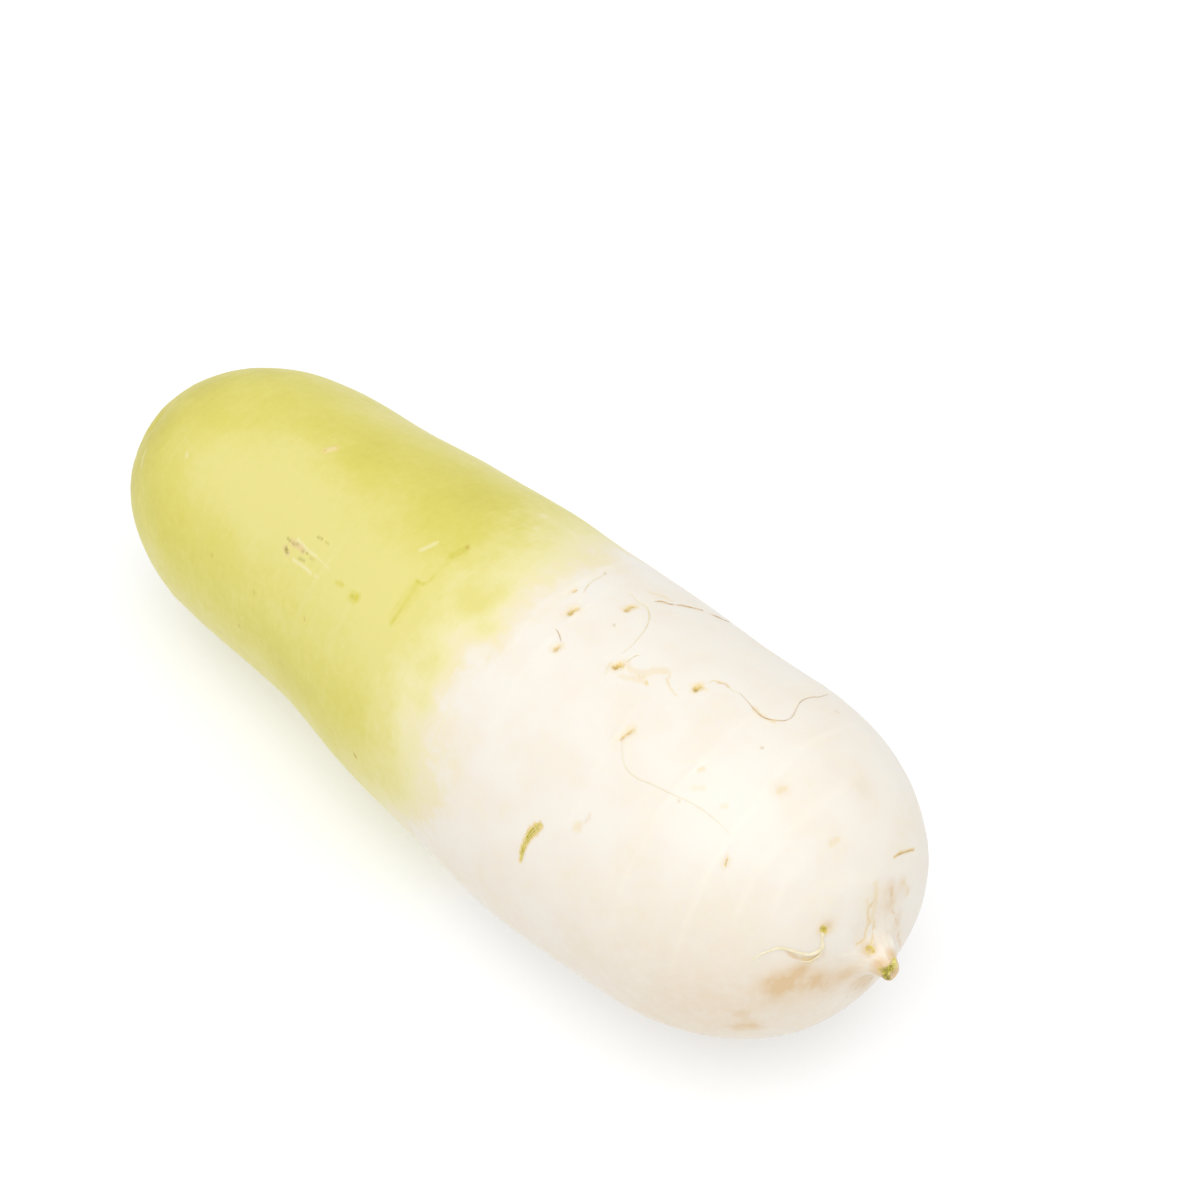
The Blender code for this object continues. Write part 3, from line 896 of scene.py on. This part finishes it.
def lay_stub(coat):
    """The wrinkled tap root stub, and the torn core in its end."""
    beyond = coat.along - BODY_LENGTH
    cone = smooth_step((beyond - 0.1) / 1.4)
    wrinkle = clouds(coat.points, size=1.9, seed=8, octaves=2)
    # Folds run from the stub's foot up the end of the dome, and are fainter on the stub.
    radial = np.sin(np.radians(coat.around) * STUB_FOLDS + 3 * wrinkle)
    zone = smooth_step((beyond + 6.5) / 5) * (1 - cone)
    coat.lift += zone * (0.04 * radial * smooth_step((beyond + 3) / 2.5) + 0.05 * wrinkle)
    coat.lift += cone * 0.10 * (wrinkle + 0.3 * radial)
    coat.cover("stain_and_shade", 0.25 * cone)
    # The torn face has dried tan round its core, beside a pale swelling.
    face = np.concatenate([path_of(line) for line in core_lines(coat.surface)])
    near, gaps = near_path(coat.points, face, 4.5)
    dried = 0.95 * (1 - smooth_step((gaps - 0.9) / 2.8)) * (1 + 0.2 * wrinkle[near])
    coat.cover("stain_and_shade", dried, near)
    bulge = coat.surface.end_place(*offset_of(*STUB_BULGE))[0]
    gap = coat.gaps_to(bulge)
    coat.lift += 0.3 * bell(gap, 2.0)
    coat.tints["stain_and_shade"] *= 1 - 0.9 * bell(gap, 1.8)
    coat.tint("fringe", face, 0.2, 0.8, ragged=0.7)
    core = path_of(end_line(coat.surface, CORE_HEART, step=0.25))
    coat.tint("core", core, 0.85, 1.0, ragged=0.7)
    coat.dent(core, width=0.6, depth=0.35)
    coat.lift += 0.2 * coat.grain * coat.tints["core"]


# Corky leaf scars on the shoulder: (along, around), size and strength.
LEAF_SCARS = (
    (6.5, 262, 5.5, 0.9), (4.5, 300, 4.0, 0.8), (5.0, 338, 4.5, 0.85), (3.5, 20, 3.5, 0.6),
    (4.0, 222, 4.0, 0.7), (3.5, 92, 3.0, 0.22), (9.0, 275, 3.0, 0.5),
)


def lay_crown(coat):
    """The dried cut face, its ragged corky rim and the leaf scars on the shoulder."""
    ragged = clouds(coat.points, size=3.2, seed=9, octaves=3)
    broad = clouds(coat.points, size=9.0, seed=11, octaves=2)
    fine = clouds(coat.points, size=1.0, seed=10, octaves=2)
    turn = np.radians(coat.around)
    front = 1 - smooth_step((coat.along - 1.2) / 1.2)
    edge = CROWN_RADIUS - 0.5 + 0.9 * ragged
    flesh = front * (1 - smooth_step((coat.radius - edge) / 0.8))
    # The flesh is cream in the middle and takes on the skin's green towards the rim.
    greening = smooth_step((coat.radius - 4 + 1.5 * ragged) / 12)
    coat.tints["flesh"] = flesh * (1 - 0.55 * greening)
    bundles = bell(coat.radius - 12.6 - 0.5 * np.sin(turn * CROWN_BUNDLES), 0.7) * front
    coat.tints["halo"] += 0.3 * bundles * (0.6 + 0.6 * fine)

    # The rim is a dry tan edge, with broken patches of cork where leaves were cut away.
    gap = np.hypot(coat.radius - CROWN_RADIUS, coat.along - 0.6)
    rim = 1 - smooth_step((gap - 0.5 - 0.5 * ragged) / 1.0)
    coat.cover("stain_and_shade", 0.35 * rim)
    coat.cover("halo", 0.7 * rim)
    hidden = 0.5 - 0.5 * np.cos(np.radians(coat.around - 130))
    wide = 1 - smooth_step((gap - 1.4 - 1.6 * ragged) / 1.2)
    patches = smooth_step((broad + 0.5 * ragged + 0.35 * hidden - 0.05) / 0.25)
    coat.cover("cork", wide * patches * (0.35 + 0.65 * hidden))
    for along, around, size, strength in LEAF_SCARS:
        gap = coat.gaps_to(coat.surface.place(along, around)[0])
        coat.cover("cork", strength * (1 - smooth_step(gap / size + 0.55 * ragged - 0.15)))
        coat.tints["halo"] += 0.35 * strength * bell(gap, size * 1.3)

    near_crown = 1 - smooth_step((coat.along - 4) / 5)
    coat.lift += near_crown * (0.10 * ragged + 0.05 * fine)
    coat.lift -= front * 0.5 * (1 - smooth_step(coat.radius / CROWN_RADIUS))
    rays = np.sin(turn * CROWN_RAYS + 2 * ragged) * smooth_step(coat.radius / 8)
    coat.lift += 0.05 * front * rays
    coat.lift += 0.25 * rim * (0.4 + ragged) + 0.10 * bundles + 0.16 * coat.tints["cork"] * fine


def keep_in_box(points):
    """Holds the skin on the floor and inside the solid's own box."""
    low, high = (np.array(corner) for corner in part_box(SOLID))
    return np.clip(points, low, high)


def smooth_stub_foot(skin):
    """Rounds the crease where the dome meets the stub."""
    points = coordinates(skin.data)
    around_foot = np.abs(points[:, 0] - BODY_LENGTH - 0.4) < FOOT_REACH
    close = np.hypot(points[:, 1], points[:, 2]) < FOOT_RADIUS
    smooth = bpy.ops.mesh.vertices_smooth
    edit(skin, smooth, "VERT", around_foot & close, factor=0.5, repeat=FOOT_PASSES)


# --- Materials ------------------------------------------------------------------------

def feed(material, node, inputs):
    """Gives each socket its value, or links it to the output that is its source."""
    for socket, source in inputs.items():
        if isinstance(source, bpy.types.NodeSocket):
            material.node_tree.links.new(source, node.inputs[socket])
        else:
            node.inputs[socket].default_value = source


def add_node(material, kind, inputs=None, output=0, **settings):
    """Adds a node with its settings, its values and its links, and gives one of its outputs."""
    node = material.node_tree.nodes.new(kind)
    for name, value in settings.items():
        setattr(node, name, value)
    feed(material, node, inputs or {})
    return node.outputs[output]


def new_material(name):
    """(material, its shader, the object's own coordinates)."""
    material = bpy.data.materials.new(name)
    material.use_nodes = True
    coordinate = add_node(material, "ShaderNodeTexCoord", output="Object")
    return material, material.node_tree.nodes["Principled BSDF"], coordinate


def laid_over(material, under, over, mask, low=None, high=None):
    """One colour laid over another by a mask, eased from low to high where they are given."""
    if low is not None:
        mask = add_node(
            material, "ShaderNodeMapRange", {0: mask, 1: low, 2: high},
            interpolation_type="SMOOTHSTEP",
        )
    return add_node(
        material, "ShaderNodeMix", {0: mask, 6: under, 7: over}, output=2,
        data_type="RGBA", clamp_factor=True,
    )


def skin_material(colours, gloss):
    """Fresh radish skin: a thin, moist, waxy layer over watery flesh, grown in fine rings.

    Light sinks in a few millimetres, so scars and edges look soft, and the sheen is broad.
    """
    material, shader, coordinate = new_material("fresh_radish_skin")
    upright = add_node(
        material, "ShaderNodeMapping", {"Vector": coordinate, "Rotation": (0.0, AXIS_TILT, 0.0)},
    )
    # Quick along the root and slow round it, so that the noise makes rings.
    ringed = add_node(
        material, "ShaderNodeMapping",
        {"Vector": upright, "Scale": (1.0, RING_STRETCH, RING_STRETCH)},
    )
    # Each noise: what it follows, the size of its features in mm, its detail and its roughness.
    streak, cloud, mottle, grain = (
        add_node(material, "ShaderNodeTexNoise", {
            "Vector": vector, "Scale": 1 / (size * MM), "Detail": detail, "Roughness": roughness,
        })
        for vector, size, detail, roughness in (
            (ringed, 0.9, 4.0, 0.6), (upright, 13.0, 3.0, 0.5),
            (upright, 2.4, 3.0, 0.6), (upright, 0.5, 2.0, 0.5),
        )
    )
    tints = {
        name: add_node(material, "ShaderNodeAttribute", output="Fac", attribute_name=name)
        for name in Coat.TINTS
    }
    # Most tints fade in and out with a noise, but keep at least a share of their strength.
    for name, noise_at, low, high, least in (
        ("stain_and_shade", mottle, 0.2, 0.6, 0.6), ("halo", grain, 0.2, 0.6, 0.5),
        ("cork", mottle, 0.15, 0.55, 0.0), ("fringe", grain, 0.2, 0.6, 0.4),
        ("scar", grain, 0.2, 0.6, 0.5),
    ):
        share = add_node(
            material, "ShaderNodeMapRange", {0: noise_at, 1: low, 2: high, 3: least},
            interpolation_type="SMOOTHSTEP",
        )
        tints[name] = add_node(
            material, "ShaderNodeMath", {0: tints[name], 1: share}, operation="MULTIPLY",
        )
    tints["pale"] = add_node(
        material, "ShaderNodeMath", {0: tints["pale"], 1: PALE_SHARE}, operation="MULTIPLY",
    )
    dry = add_node(
        material, "ShaderNodeMath", {0: tints["cork"], 1: tints["scar"]}, operation="MAXIMUM",
    )
    # Where each sum starts, and its (source, factor) terms. A noise swings about a half, so
    # broken and rough start that much lower.
    sums = {
        "broken": (-0.355, (
            (tints["green"], 1.0), (cloud, 0.3), (mottle, 0.25), (streak, 0.16),
        )),
        "tone_and_shading": (tints["tone_and_shading"], ((cloud, 0.5), (mottle, 0.3), (streak, 0.15), (grain, 0.15))),
        "rough": (gloss - 0.06, ((mottle, 0.12), (dry, 0.35))),
        "height": (0.0, ((mottle, 0.5), (streak, 0.5), (grain, 0.35))),
    }
    for name, (total, terms) in sums.items():
        for source, factor in terms:
            total = add_node(
                material, "ShaderNodeMath", {0: source, 1: factor, 2: total},
                operation="MULTIPLY_ADD",
            )
        sums[name] = total

    # Painted shade along the green's lower edge and a painted highlight along its middle come in
    # through the tone tint.
    lively = laid_over(material, colours.pale_green, colours.green, sums["tone_and_shading"], 0.35, 0.95)
    lively = laid_over(material, lively, colours.deep_green, sums["tone_and_shading"], 0.8, 1.4)
    colour = laid_over(material, colours.white, linear("#E7DFD2"), cloud, 0.3, 0.7)
    for over, low, high in (
        (colours.cream, 0.0, 0.3), (linear("#E3DCA4"), 0.12, 0.5),
        (colours.pale_green, 0.35, 0.75), (lively, 0.6, 1.0),
    ):
        colour = laid_over(material, colour, over, sums["broken"], low, high)
    for name, over in (
        ("pale", linear("#F1EBDD")),
        # The tan tint also lays painted warm shade on the lower side and a painted shadow under the
        # rootlet.
        ("stain_and_shade", colours.stain_and_shade),
        ("halo", colours.halo),
        ("flesh", laid_over(material, colours.flesh, linear("#DDD3AC"), mottle, 0.35, 0.65)),
        ("cork", laid_over(material, colours.cork, linear("#7F7042"), grain, 0.35, 0.65)),
        ("fringe", colours.fringe),
        ("core", laid_over(material, colours.core, colours.fringe, grain, 0.45, 0.75)),
        ("scar", colours.scar),
    ):
        colour = laid_over(material, colour, over, tints[name])

    feed(material, shader, {
        "Base Color": colour, "Roughness": sums["rough"], "IOR": 1.4, "Subsurface Weight": 0.3,
        "Subsurface Radius": (1.0, 0.82, 0.5), "Subsurface Scale": 1.8 * MM,
        "Normal": add_node(
            material, "ShaderNodeBump",
            {"Height": sums["height"], "Strength": 0.35, "Distance": 0.08 * MM},
        ),
    })
    return material


def fibre_material(name, hex_colour, hex_dark, size_mm):
    """Dried root fibre: thin strands of cellulose, dull, darker where they broke."""
    material, shader, coordinate = new_material(name)
    uneven = add_node(
        material, "ShaderNodeTexNoise",
        {"Vector": coordinate, "Scale": 1 / (size_mm * MM), "Detail": 3.0},
    )
    feed(material, shader, {
        "Base Color": laid_over(
            material, linear(hex_colour), linear(hex_dark), uneven, 0.35, 0.65,
        ),
        "Roughness": 0.62,
        "Normal": add_node(
            material, "ShaderNodeBump",
            {"Height": uneven, "Strength": 0.4, "Distance": 0.05 * MM},
        ),
    })
    return material


def floor_material(glow):
    """Matt opal acrylic, lit a little from below, so that shadows on it stay faint."""
    material, shader, coordinate = new_material("matt_opal_acrylic")
    grain = add_node(
        material, "ShaderNodeTexNoise",
        {"Vector": coordinate, "Scale": 1 / (1.2 * MM), "Detail": 3.0},
    )
    feed(material, shader, {
        "Base Color": laid_over(material, linear("#CBCCCD"), linear("#C8C9CA"), grain),
        "Roughness": 0.9, "Specular IOR Level": 0.1,
        "Emission Color": WHITE, "Emission Strength": glow,
    })
    return material


# --- Strands --------------------------------------------------------------------------

def strand_object(name, strands, material):
    """One mesh of tapered tubes; each strand is a list of (root point, radius in mm)."""
    deselect()
    bpy.ops.curve.primitive_nurbs_path_add()
    data = bpy.context.object.data
    data.splines.clear()
    data.bevel_depth = 1.0 * MM
    data.bevel_resolution = 1
    data.use_fill_caps = True
    to_frame = root_matrix()
    for strand in strands:
        spline = data.splines.new("POLY")
        spline.points.add(len(strand) - 1)
        for point, (place, radius) in zip(spline.points, strand):
            point.co = (*(to_frame @ Vector(place)), 1.0)
            point.radius = radius
    bpy.ops.object.convert(target="MESH")
    made = bpy.context.object
    made.data.materials.append(material)
    edit(made, bpy.ops.mesh.remove_doubles, threshold=0.01 * MM)
    edit(made, bpy.ops.mesh.normals_make_consistent, inside=False)
    bpy.ops.object.shade_smooth()
    made.name = made.data.name = name
    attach(made, "root")
    return made


def laid_strand(line, radius, chance, taper=0.45, lift=0.0, proud=0.4):
    """A strand on the skin along (place, normal) pairs, thinner at its ends.

    The strand's middle stands off the skin by proud times its radius, plus the lift.
    """
    strand = []
    for index, (place, normal) in enumerate(line):
        share = index / max(len(line) - 1, 1)
        thickness = radius * (1 - (1 - taper) * share) * min(1.0, 0.35 + 3 * share)
        thickness *= chance.uniform(0.8, 1.2)
        rise = thickness * proud + lift * math.sin(share * math.pi) * chance.uniform(0.5, 1.0)
        strand.append((place + normal * rise, thickness))
    return strand


def stub_strand(line, width, depth, chance):
    """The broken end of a side root, which leans out of the deep end of its scar."""
    length = (line[-1][0] - line[0][0]).length
    strand = []
    for index in range(6):
        share = index / 5
        place, normal = line[min(int(share * 0.8 * len(line)), len(line) - 1)]
        rise = -0.55 * depth * (1 - share) ** 1.2
        thickness = width * 0.12 * (1 - 0.55 * share) * chance.uniform(0.85, 1.15)
        wobble = Vector((chance.uniform(-1, 1), chance.uniform(-1, 1), chance.uniform(-1, 1)))
        strand.append((place + normal * rise + wobble * 0.04 * length, thickness))
    return strand


# Hair roots: kind, thickness share, lift in mm, and points.
HAIR_ROOTS = (
    ("pale", 0.9, 0.05, ((182, 82.7), (182, 80.7), (184.1, 78.9), (186.9, 79.4), (188.2, 78.4))),
    ("dry", 0.8, 0.05, (
        (188.2, 78.4), (191.3, 79.4), (194.6, 80.6), (196.6, 80.4), (198.3, 78.2), (199.3, 75.9),
        (199.1, 72.3), (197.2, 67), (196, 62.9), (195.5, 57.9), (195.6, 53), (194.1, 45.3),
    )),
    ("pale", 0.6, 0.05, (
        (179.2, 114.3), (181.4, 117.1), (183.9, 119.5), (187.4, 120.0), (191.6, 118.9),
        (195.3, 118.3), (198.8, 117.4), (202.3, 117.0), (206.2, 117.4), (210.3, 118.6),
    )),
    ("dry", 1.0, 0.0, ((229.2, 61.2), (228.9, 55.0), (228.7, 47.8), (228.3, 39.1))),
    ("pale", 1.1, 0.05, (
        (148.7, 71), (152.3, 72.1), (154.5, 71.7), (157.2, 74), (159.8, 78.3), (161.4, 82.6),
        (162.7, 88.2), (162.9, 92.7),
    )),
    ("dry", 0.9, 0.1, ((150.3, 101.4), (149.1, 100.3), (147.9, 99.6), (146.9, 99.2))),
    ("dry", 1.3, 0.0, ((153.7, 66.9), (154.1, 63.9), (155.5, 63.1), (155.8, 61.7))),
    ("dry", 1.5, 0.0, ((156.2, 60.2), (156.5, 58.4), (157.4, 56.3), (158.1, 53.1), (158.7, 51.2))),
    ("dry", 1.1, 0.0, ((160.2, 48.8), (161.6, 45.1), (161.7, 40.9))),
    ("pale", 1.1, 0.05, ((143.1, 83.3), (141.7, 80), (140.9, 76.4), (140.3, 70.2))),
    ("pale", 0.9, 0.1, ((165.5, 94.0), (165.5, 91.0), (166.0, 89.6))),
    ("pale", 0.8, 0.0, ((163.0, 97.0), (163.6, 99.6), (164.4, 101.4))),
    # Three more on the far side.
    ("pale", 0.8, 0.05, ((150, 316), (154, 312), (159, 310), (164, 305))),
    ("dry", 0.9, 0.05, ((184, 322), (186, 328), (190, 331), (193, 338), (192, 343))),
    ("pale", 0.8, 0.05, ((205, 312), (209, 318), (214, 320), (219, 327))),
)
# The one fresh side root, which lies over the tail, and the thin one beside it.
ROOTLET = (
    (18.3, 133), (17.3, 139), (16.5, 143), (17, 147), (18.6, 150), (20.7, 150), (22.9, 149),
    (25.1, 149), (26.3, 151), (27.7, 154), (28.8, 158),
)
THIN_ROOTLET = ((16.6, 145), (16.4, 149), (17.1, 152), (18.3, 155), (20.2, 155))


# --- Operators ------------------------------------------------------------------------

class DAIKON_OT_skin(Operator):
    """Lay the finished skin over the solid, with its scars, rings and colours"""

    bl_idname = "daikon.skin"
    bl_label = "Skin"

    def execute(self, context):
        sizes, colours = context.scene.daikon_sizes, context.scene.daikon_colours
        chance = random.Random(SEED)
        solid = Surface(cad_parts[SOLID].data, root_matrix().inverted())
        skin, row = base_skin(solid, sizes)
        smooth_stub_foot(skin)
        split_rows(skin, row)
        base = Surface(skin.data)
        marks = SCUFFS + far_flecks()
        pits = side_pits(base, chance)
        zones = [(path_of(line), width * 0.5 + PIT_REACH) for line, width, _, _ in pits]
        zones.append((path_of(gash_lines(base, (0.5,))[0]), GASH_REACH))
        areas = FINE_AREAS + tuple((mark[4], mark[1] + MARK_REACH) for mark in marks)
        zones += [(path_of(side_line(base, points)), reach) for points, reach in areas]
        refine(skin, zones)
        coat = Coat(skin.data, base)
        lay_unevenness(coat)
        lay_rings(coat, chance)
        lay_green(coat)
        lay_tones(coat)
        lay_pits(coat, pits, sizes.lip_height)
        lay_gash(coat)
        lay_scuffs(coat, marks)
        lay_tail_marks(coat)
        lay_stub(coat)
        lay_crown(coat)
        placed = keep_in_box(moved(coat.place_all(), root_matrix()))
        set_coordinates(skin.data, placed)
        for name, values in coat.tints.items():
            layer = skin.data.attributes.new(name, "FLOAT", "POINT")
            layer.data.foreach_set("value", values.astype(np.float32))
        skin.data.materials.append(skin_material(colours, sizes.gloss))
        bpy.ops.object.shade_smooth()
        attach(skin, "root")
        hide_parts(SOLID)
        return {"FINISHED"}


def finished_skin():
    """The finished skin, for what lies on it."""
    return Surface(bpy.data.objects["daikon_skin"].data, root_matrix().inverted())


class DAIKON_OT_hair_roots(Operator):
    """Lay the dried hair roots on the skin"""

    bl_idname = "daikon.hair_roots"
    bl_label = "Hair roots"

    def execute(self, context):
        radius = context.scene.daikon_sizes.hair_radius / MM
        chance = random.Random(SEED + 1)
        surface = finished_skin()
        finishes = {
            "dry": fibre_material("dried_hair_root", "#DCC39A", "#BC9A6E", 2.5),
            "pale": fibre_material("fresh_hair_root", "#EFE5C4", "#E6D8A8", 2.5),
        }
        for kind, finish in finishes.items():
            strands = [
                laid_strand(side_line(surface, points, step=0.6), radius * share, chance, lift=lift)
                for chosen, share, lift, points in HAIR_ROOTS if chosen == kind
            ]
            strand_object(f"hair_roots_{kind}", strands, finish)
        return {"FINISHED"}


class DAIKON_OT_side_roots(Operator):
    """Lay the fresh side root on the tail and set a broken root in each scar"""

    bl_idname = "daikon.side_roots"
    bl_label = "Side roots"

    def execute(self, context):
        radius = context.scene.daikon_sizes.rootlet_radius / MM
        chance = random.Random(SEED + 2)
        surface = finished_skin()
        thick, thin = (end_line(surface, points, step=0.4) for points in (ROOTLET, THIN_ROOTLET))
        strands = [
            laid_strand(thick, radius, chance, taper=0.3, proud=-0.4),
            laid_strand(thin, radius * 0.28, chance, lift=0.1),
        ]
        strand_object("side_rootlet", strands, fibre_material(
            "fresh_side_root", "#ECE2C6", "#E5D9B4", 1.6))
        pits = side_pits(surface, random.Random(SEED))
        stubs = [stub_strand(line, width, depth, chance) for line, width, depth, _ in pits]
        strand_object("side_root_stubs", stubs, fibre_material(
            "broken_side_root", "#E2C888", "#C4A255", 0.7))
        return {"FINISHED"}


class DAIKON_OT_torn_fibres(Operator):
    """Lay torn fibres in the split and round the core of the stub"""

    bl_idname = "daikon.torn_fibres"
    bl_label = "Torn fibres"

    def execute(self, context):
        chance = random.Random(SEED + 3)
        surface = finished_skin()
        finish = fibre_material("torn_radish_fibre", "#EEE68C", "#D8CD60", 0.9)
        strands = [
            laid_strand(line, chance.uniform(0.09, 0.12), chance, taper=0.6, lift=0.12)
            for line in gash_lines(surface, (0.2, 0.5, 0.8))
        ]
        strand_object("gash_fibres", strands, finish)
        fringe = []
        for start, end in zip(CORE_EDGE, CORE_EDGE[1:]):
            for share in (0.1, 0.4, 0.7):
                root = Vector(start).lerp(Vector(end), share)
                inner = Vector(CORE_CORNER).lerp(root, chance.uniform(0.0, 0.25))
                outer = Vector(CORE_CORNER).lerp(root, chance.uniform(0.3, 0.65))
                line = end_line(surface, (tuple(inner), tuple(outer)), 0.3)
                fringe.append(laid_strand(line, 0.08, chance, taper=0.3, lift=0.1))
        strand_object("core_fibres", fringe, finish)
        return {"FINISHED"}


class DAIKON_OT_stage(Operator):
    """Set up the floor, the lights and the camera"""

    bl_idname = "daikon.stage"
    bl_label = "Studio"

    def execute(self, context):
        studio = context.scene.daikon_studio
        deselect()
        bpy.ops.mesh.primitive_plane_add(size=FLOOR_SIZE)
        floor = context.object
        floor.name = floor.data.name = "floor"
        floor.data.materials.append(floor_material(studio.table))

        turn, rise = studio.azimuth, studio.elevation
        back = Vector((
            math.sin(turn) * math.cos(rise), -math.cos(turn) * math.cos(rise), math.sin(rise),
        ))
        target = Vector(studio.looks_at)
        bpy.ops.object.camera_add(
            location=target + back * studio.distance,
            rotation=(-back).to_track_quat("-Z", "Y").to_euler(),
        )
        camera = context.object
        camera.data.lens = studio.lens
        camera.data.sensor_width = SENSOR_WIDTH
        camera.data.clip_start = 0.01
        context.scene.camera = camera

        right = Vector((math.cos(turn), math.sin(turn), 0.0))
        towards = Vector((math.sin(turn), -math.cos(turn), 0.0))
        place = towards * SOFTBOX_TOWARDS - right * SOFTBOX_LEFT + Vector((0, 0, SOFTBOX_UP))
        bpy.ops.object.light_add(
            type="AREA", location=place, rotation=(-place).to_track_quat("-Z", "Y").to_euler(),
        )
        key = context.object
        key.name = "softbox"
        key.data.shape = "SQUARE"
        key.data.size = SOFTBOX_SIZE
        key.data.energy = studio.key

        world = bpy.data.worlds.new("white_surroundings")
        context.scene.world = world
        world.use_nodes = True
        sky = world.node_tree.nodes["Background"]
        sky.inputs["Color"].default_value = WHITE
        sky.inputs["Strength"].default_value = studio.sky
        context.scene.view_settings.view_transform = "Standard"
        return {"FINISHED"}


class DAIKON_PT_parts(Panel):
    """Lists what the daikon is made of"""

    bl_idname = "DAIKON_PT_parts"
    bl_label = "Daikon"
    bl_space_type = "VIEW_3D"
    bl_region_type = "UI"
    bl_category = "Daikon"

    def draw(self, context):
        for group in (
            context.scene.daikon_sizes, context.scene.daikon_colours, context.scene.daikon_studio,
        ):
            for name in group.__annotations__:
                self.layout.prop(group, name)
        for operator in OPERATORS:
            self.layout.operator(operator.bl_idname)


OPERATORS = (
    DAIKON_OT_stage, DAIKON_OT_skin, DAIKON_OT_hair_roots, DAIKON_OT_side_roots,
    DAIKON_OT_torn_fibres,
)
GROUPS = {
    "daikon_sizes": DaikonSizes, "daikon_colours": DaikonColours, "daikon_studio": DaikonStudio,
}
CLASSES = (*GROUPS.values(), *OPERATORS, DAIKON_PT_parts)


def register():
    for cls in CLASSES:
        bpy.utils.register_class(cls)
    for name, group in GROUPS.items():
        setattr(bpy.types.Scene, name, PointerProperty(type=group))


def unregister():
    for name in GROUPS:
        delattr(bpy.types.Scene, name)
    for cls in reversed(CLASSES):
        bpy.utils.unregister_class(cls)


def main():
    """Registers the add-on and makes every piece."""
    register()
    bpy.ops.daikon.stage()
    bpy.ops.daikon.skin()
    bpy.ops.daikon.hair_roots()
    bpy.ops.daikon.side_roots()
    bpy.ops.daikon.torn_fibres()


if __name__ == "__main__":
    main()
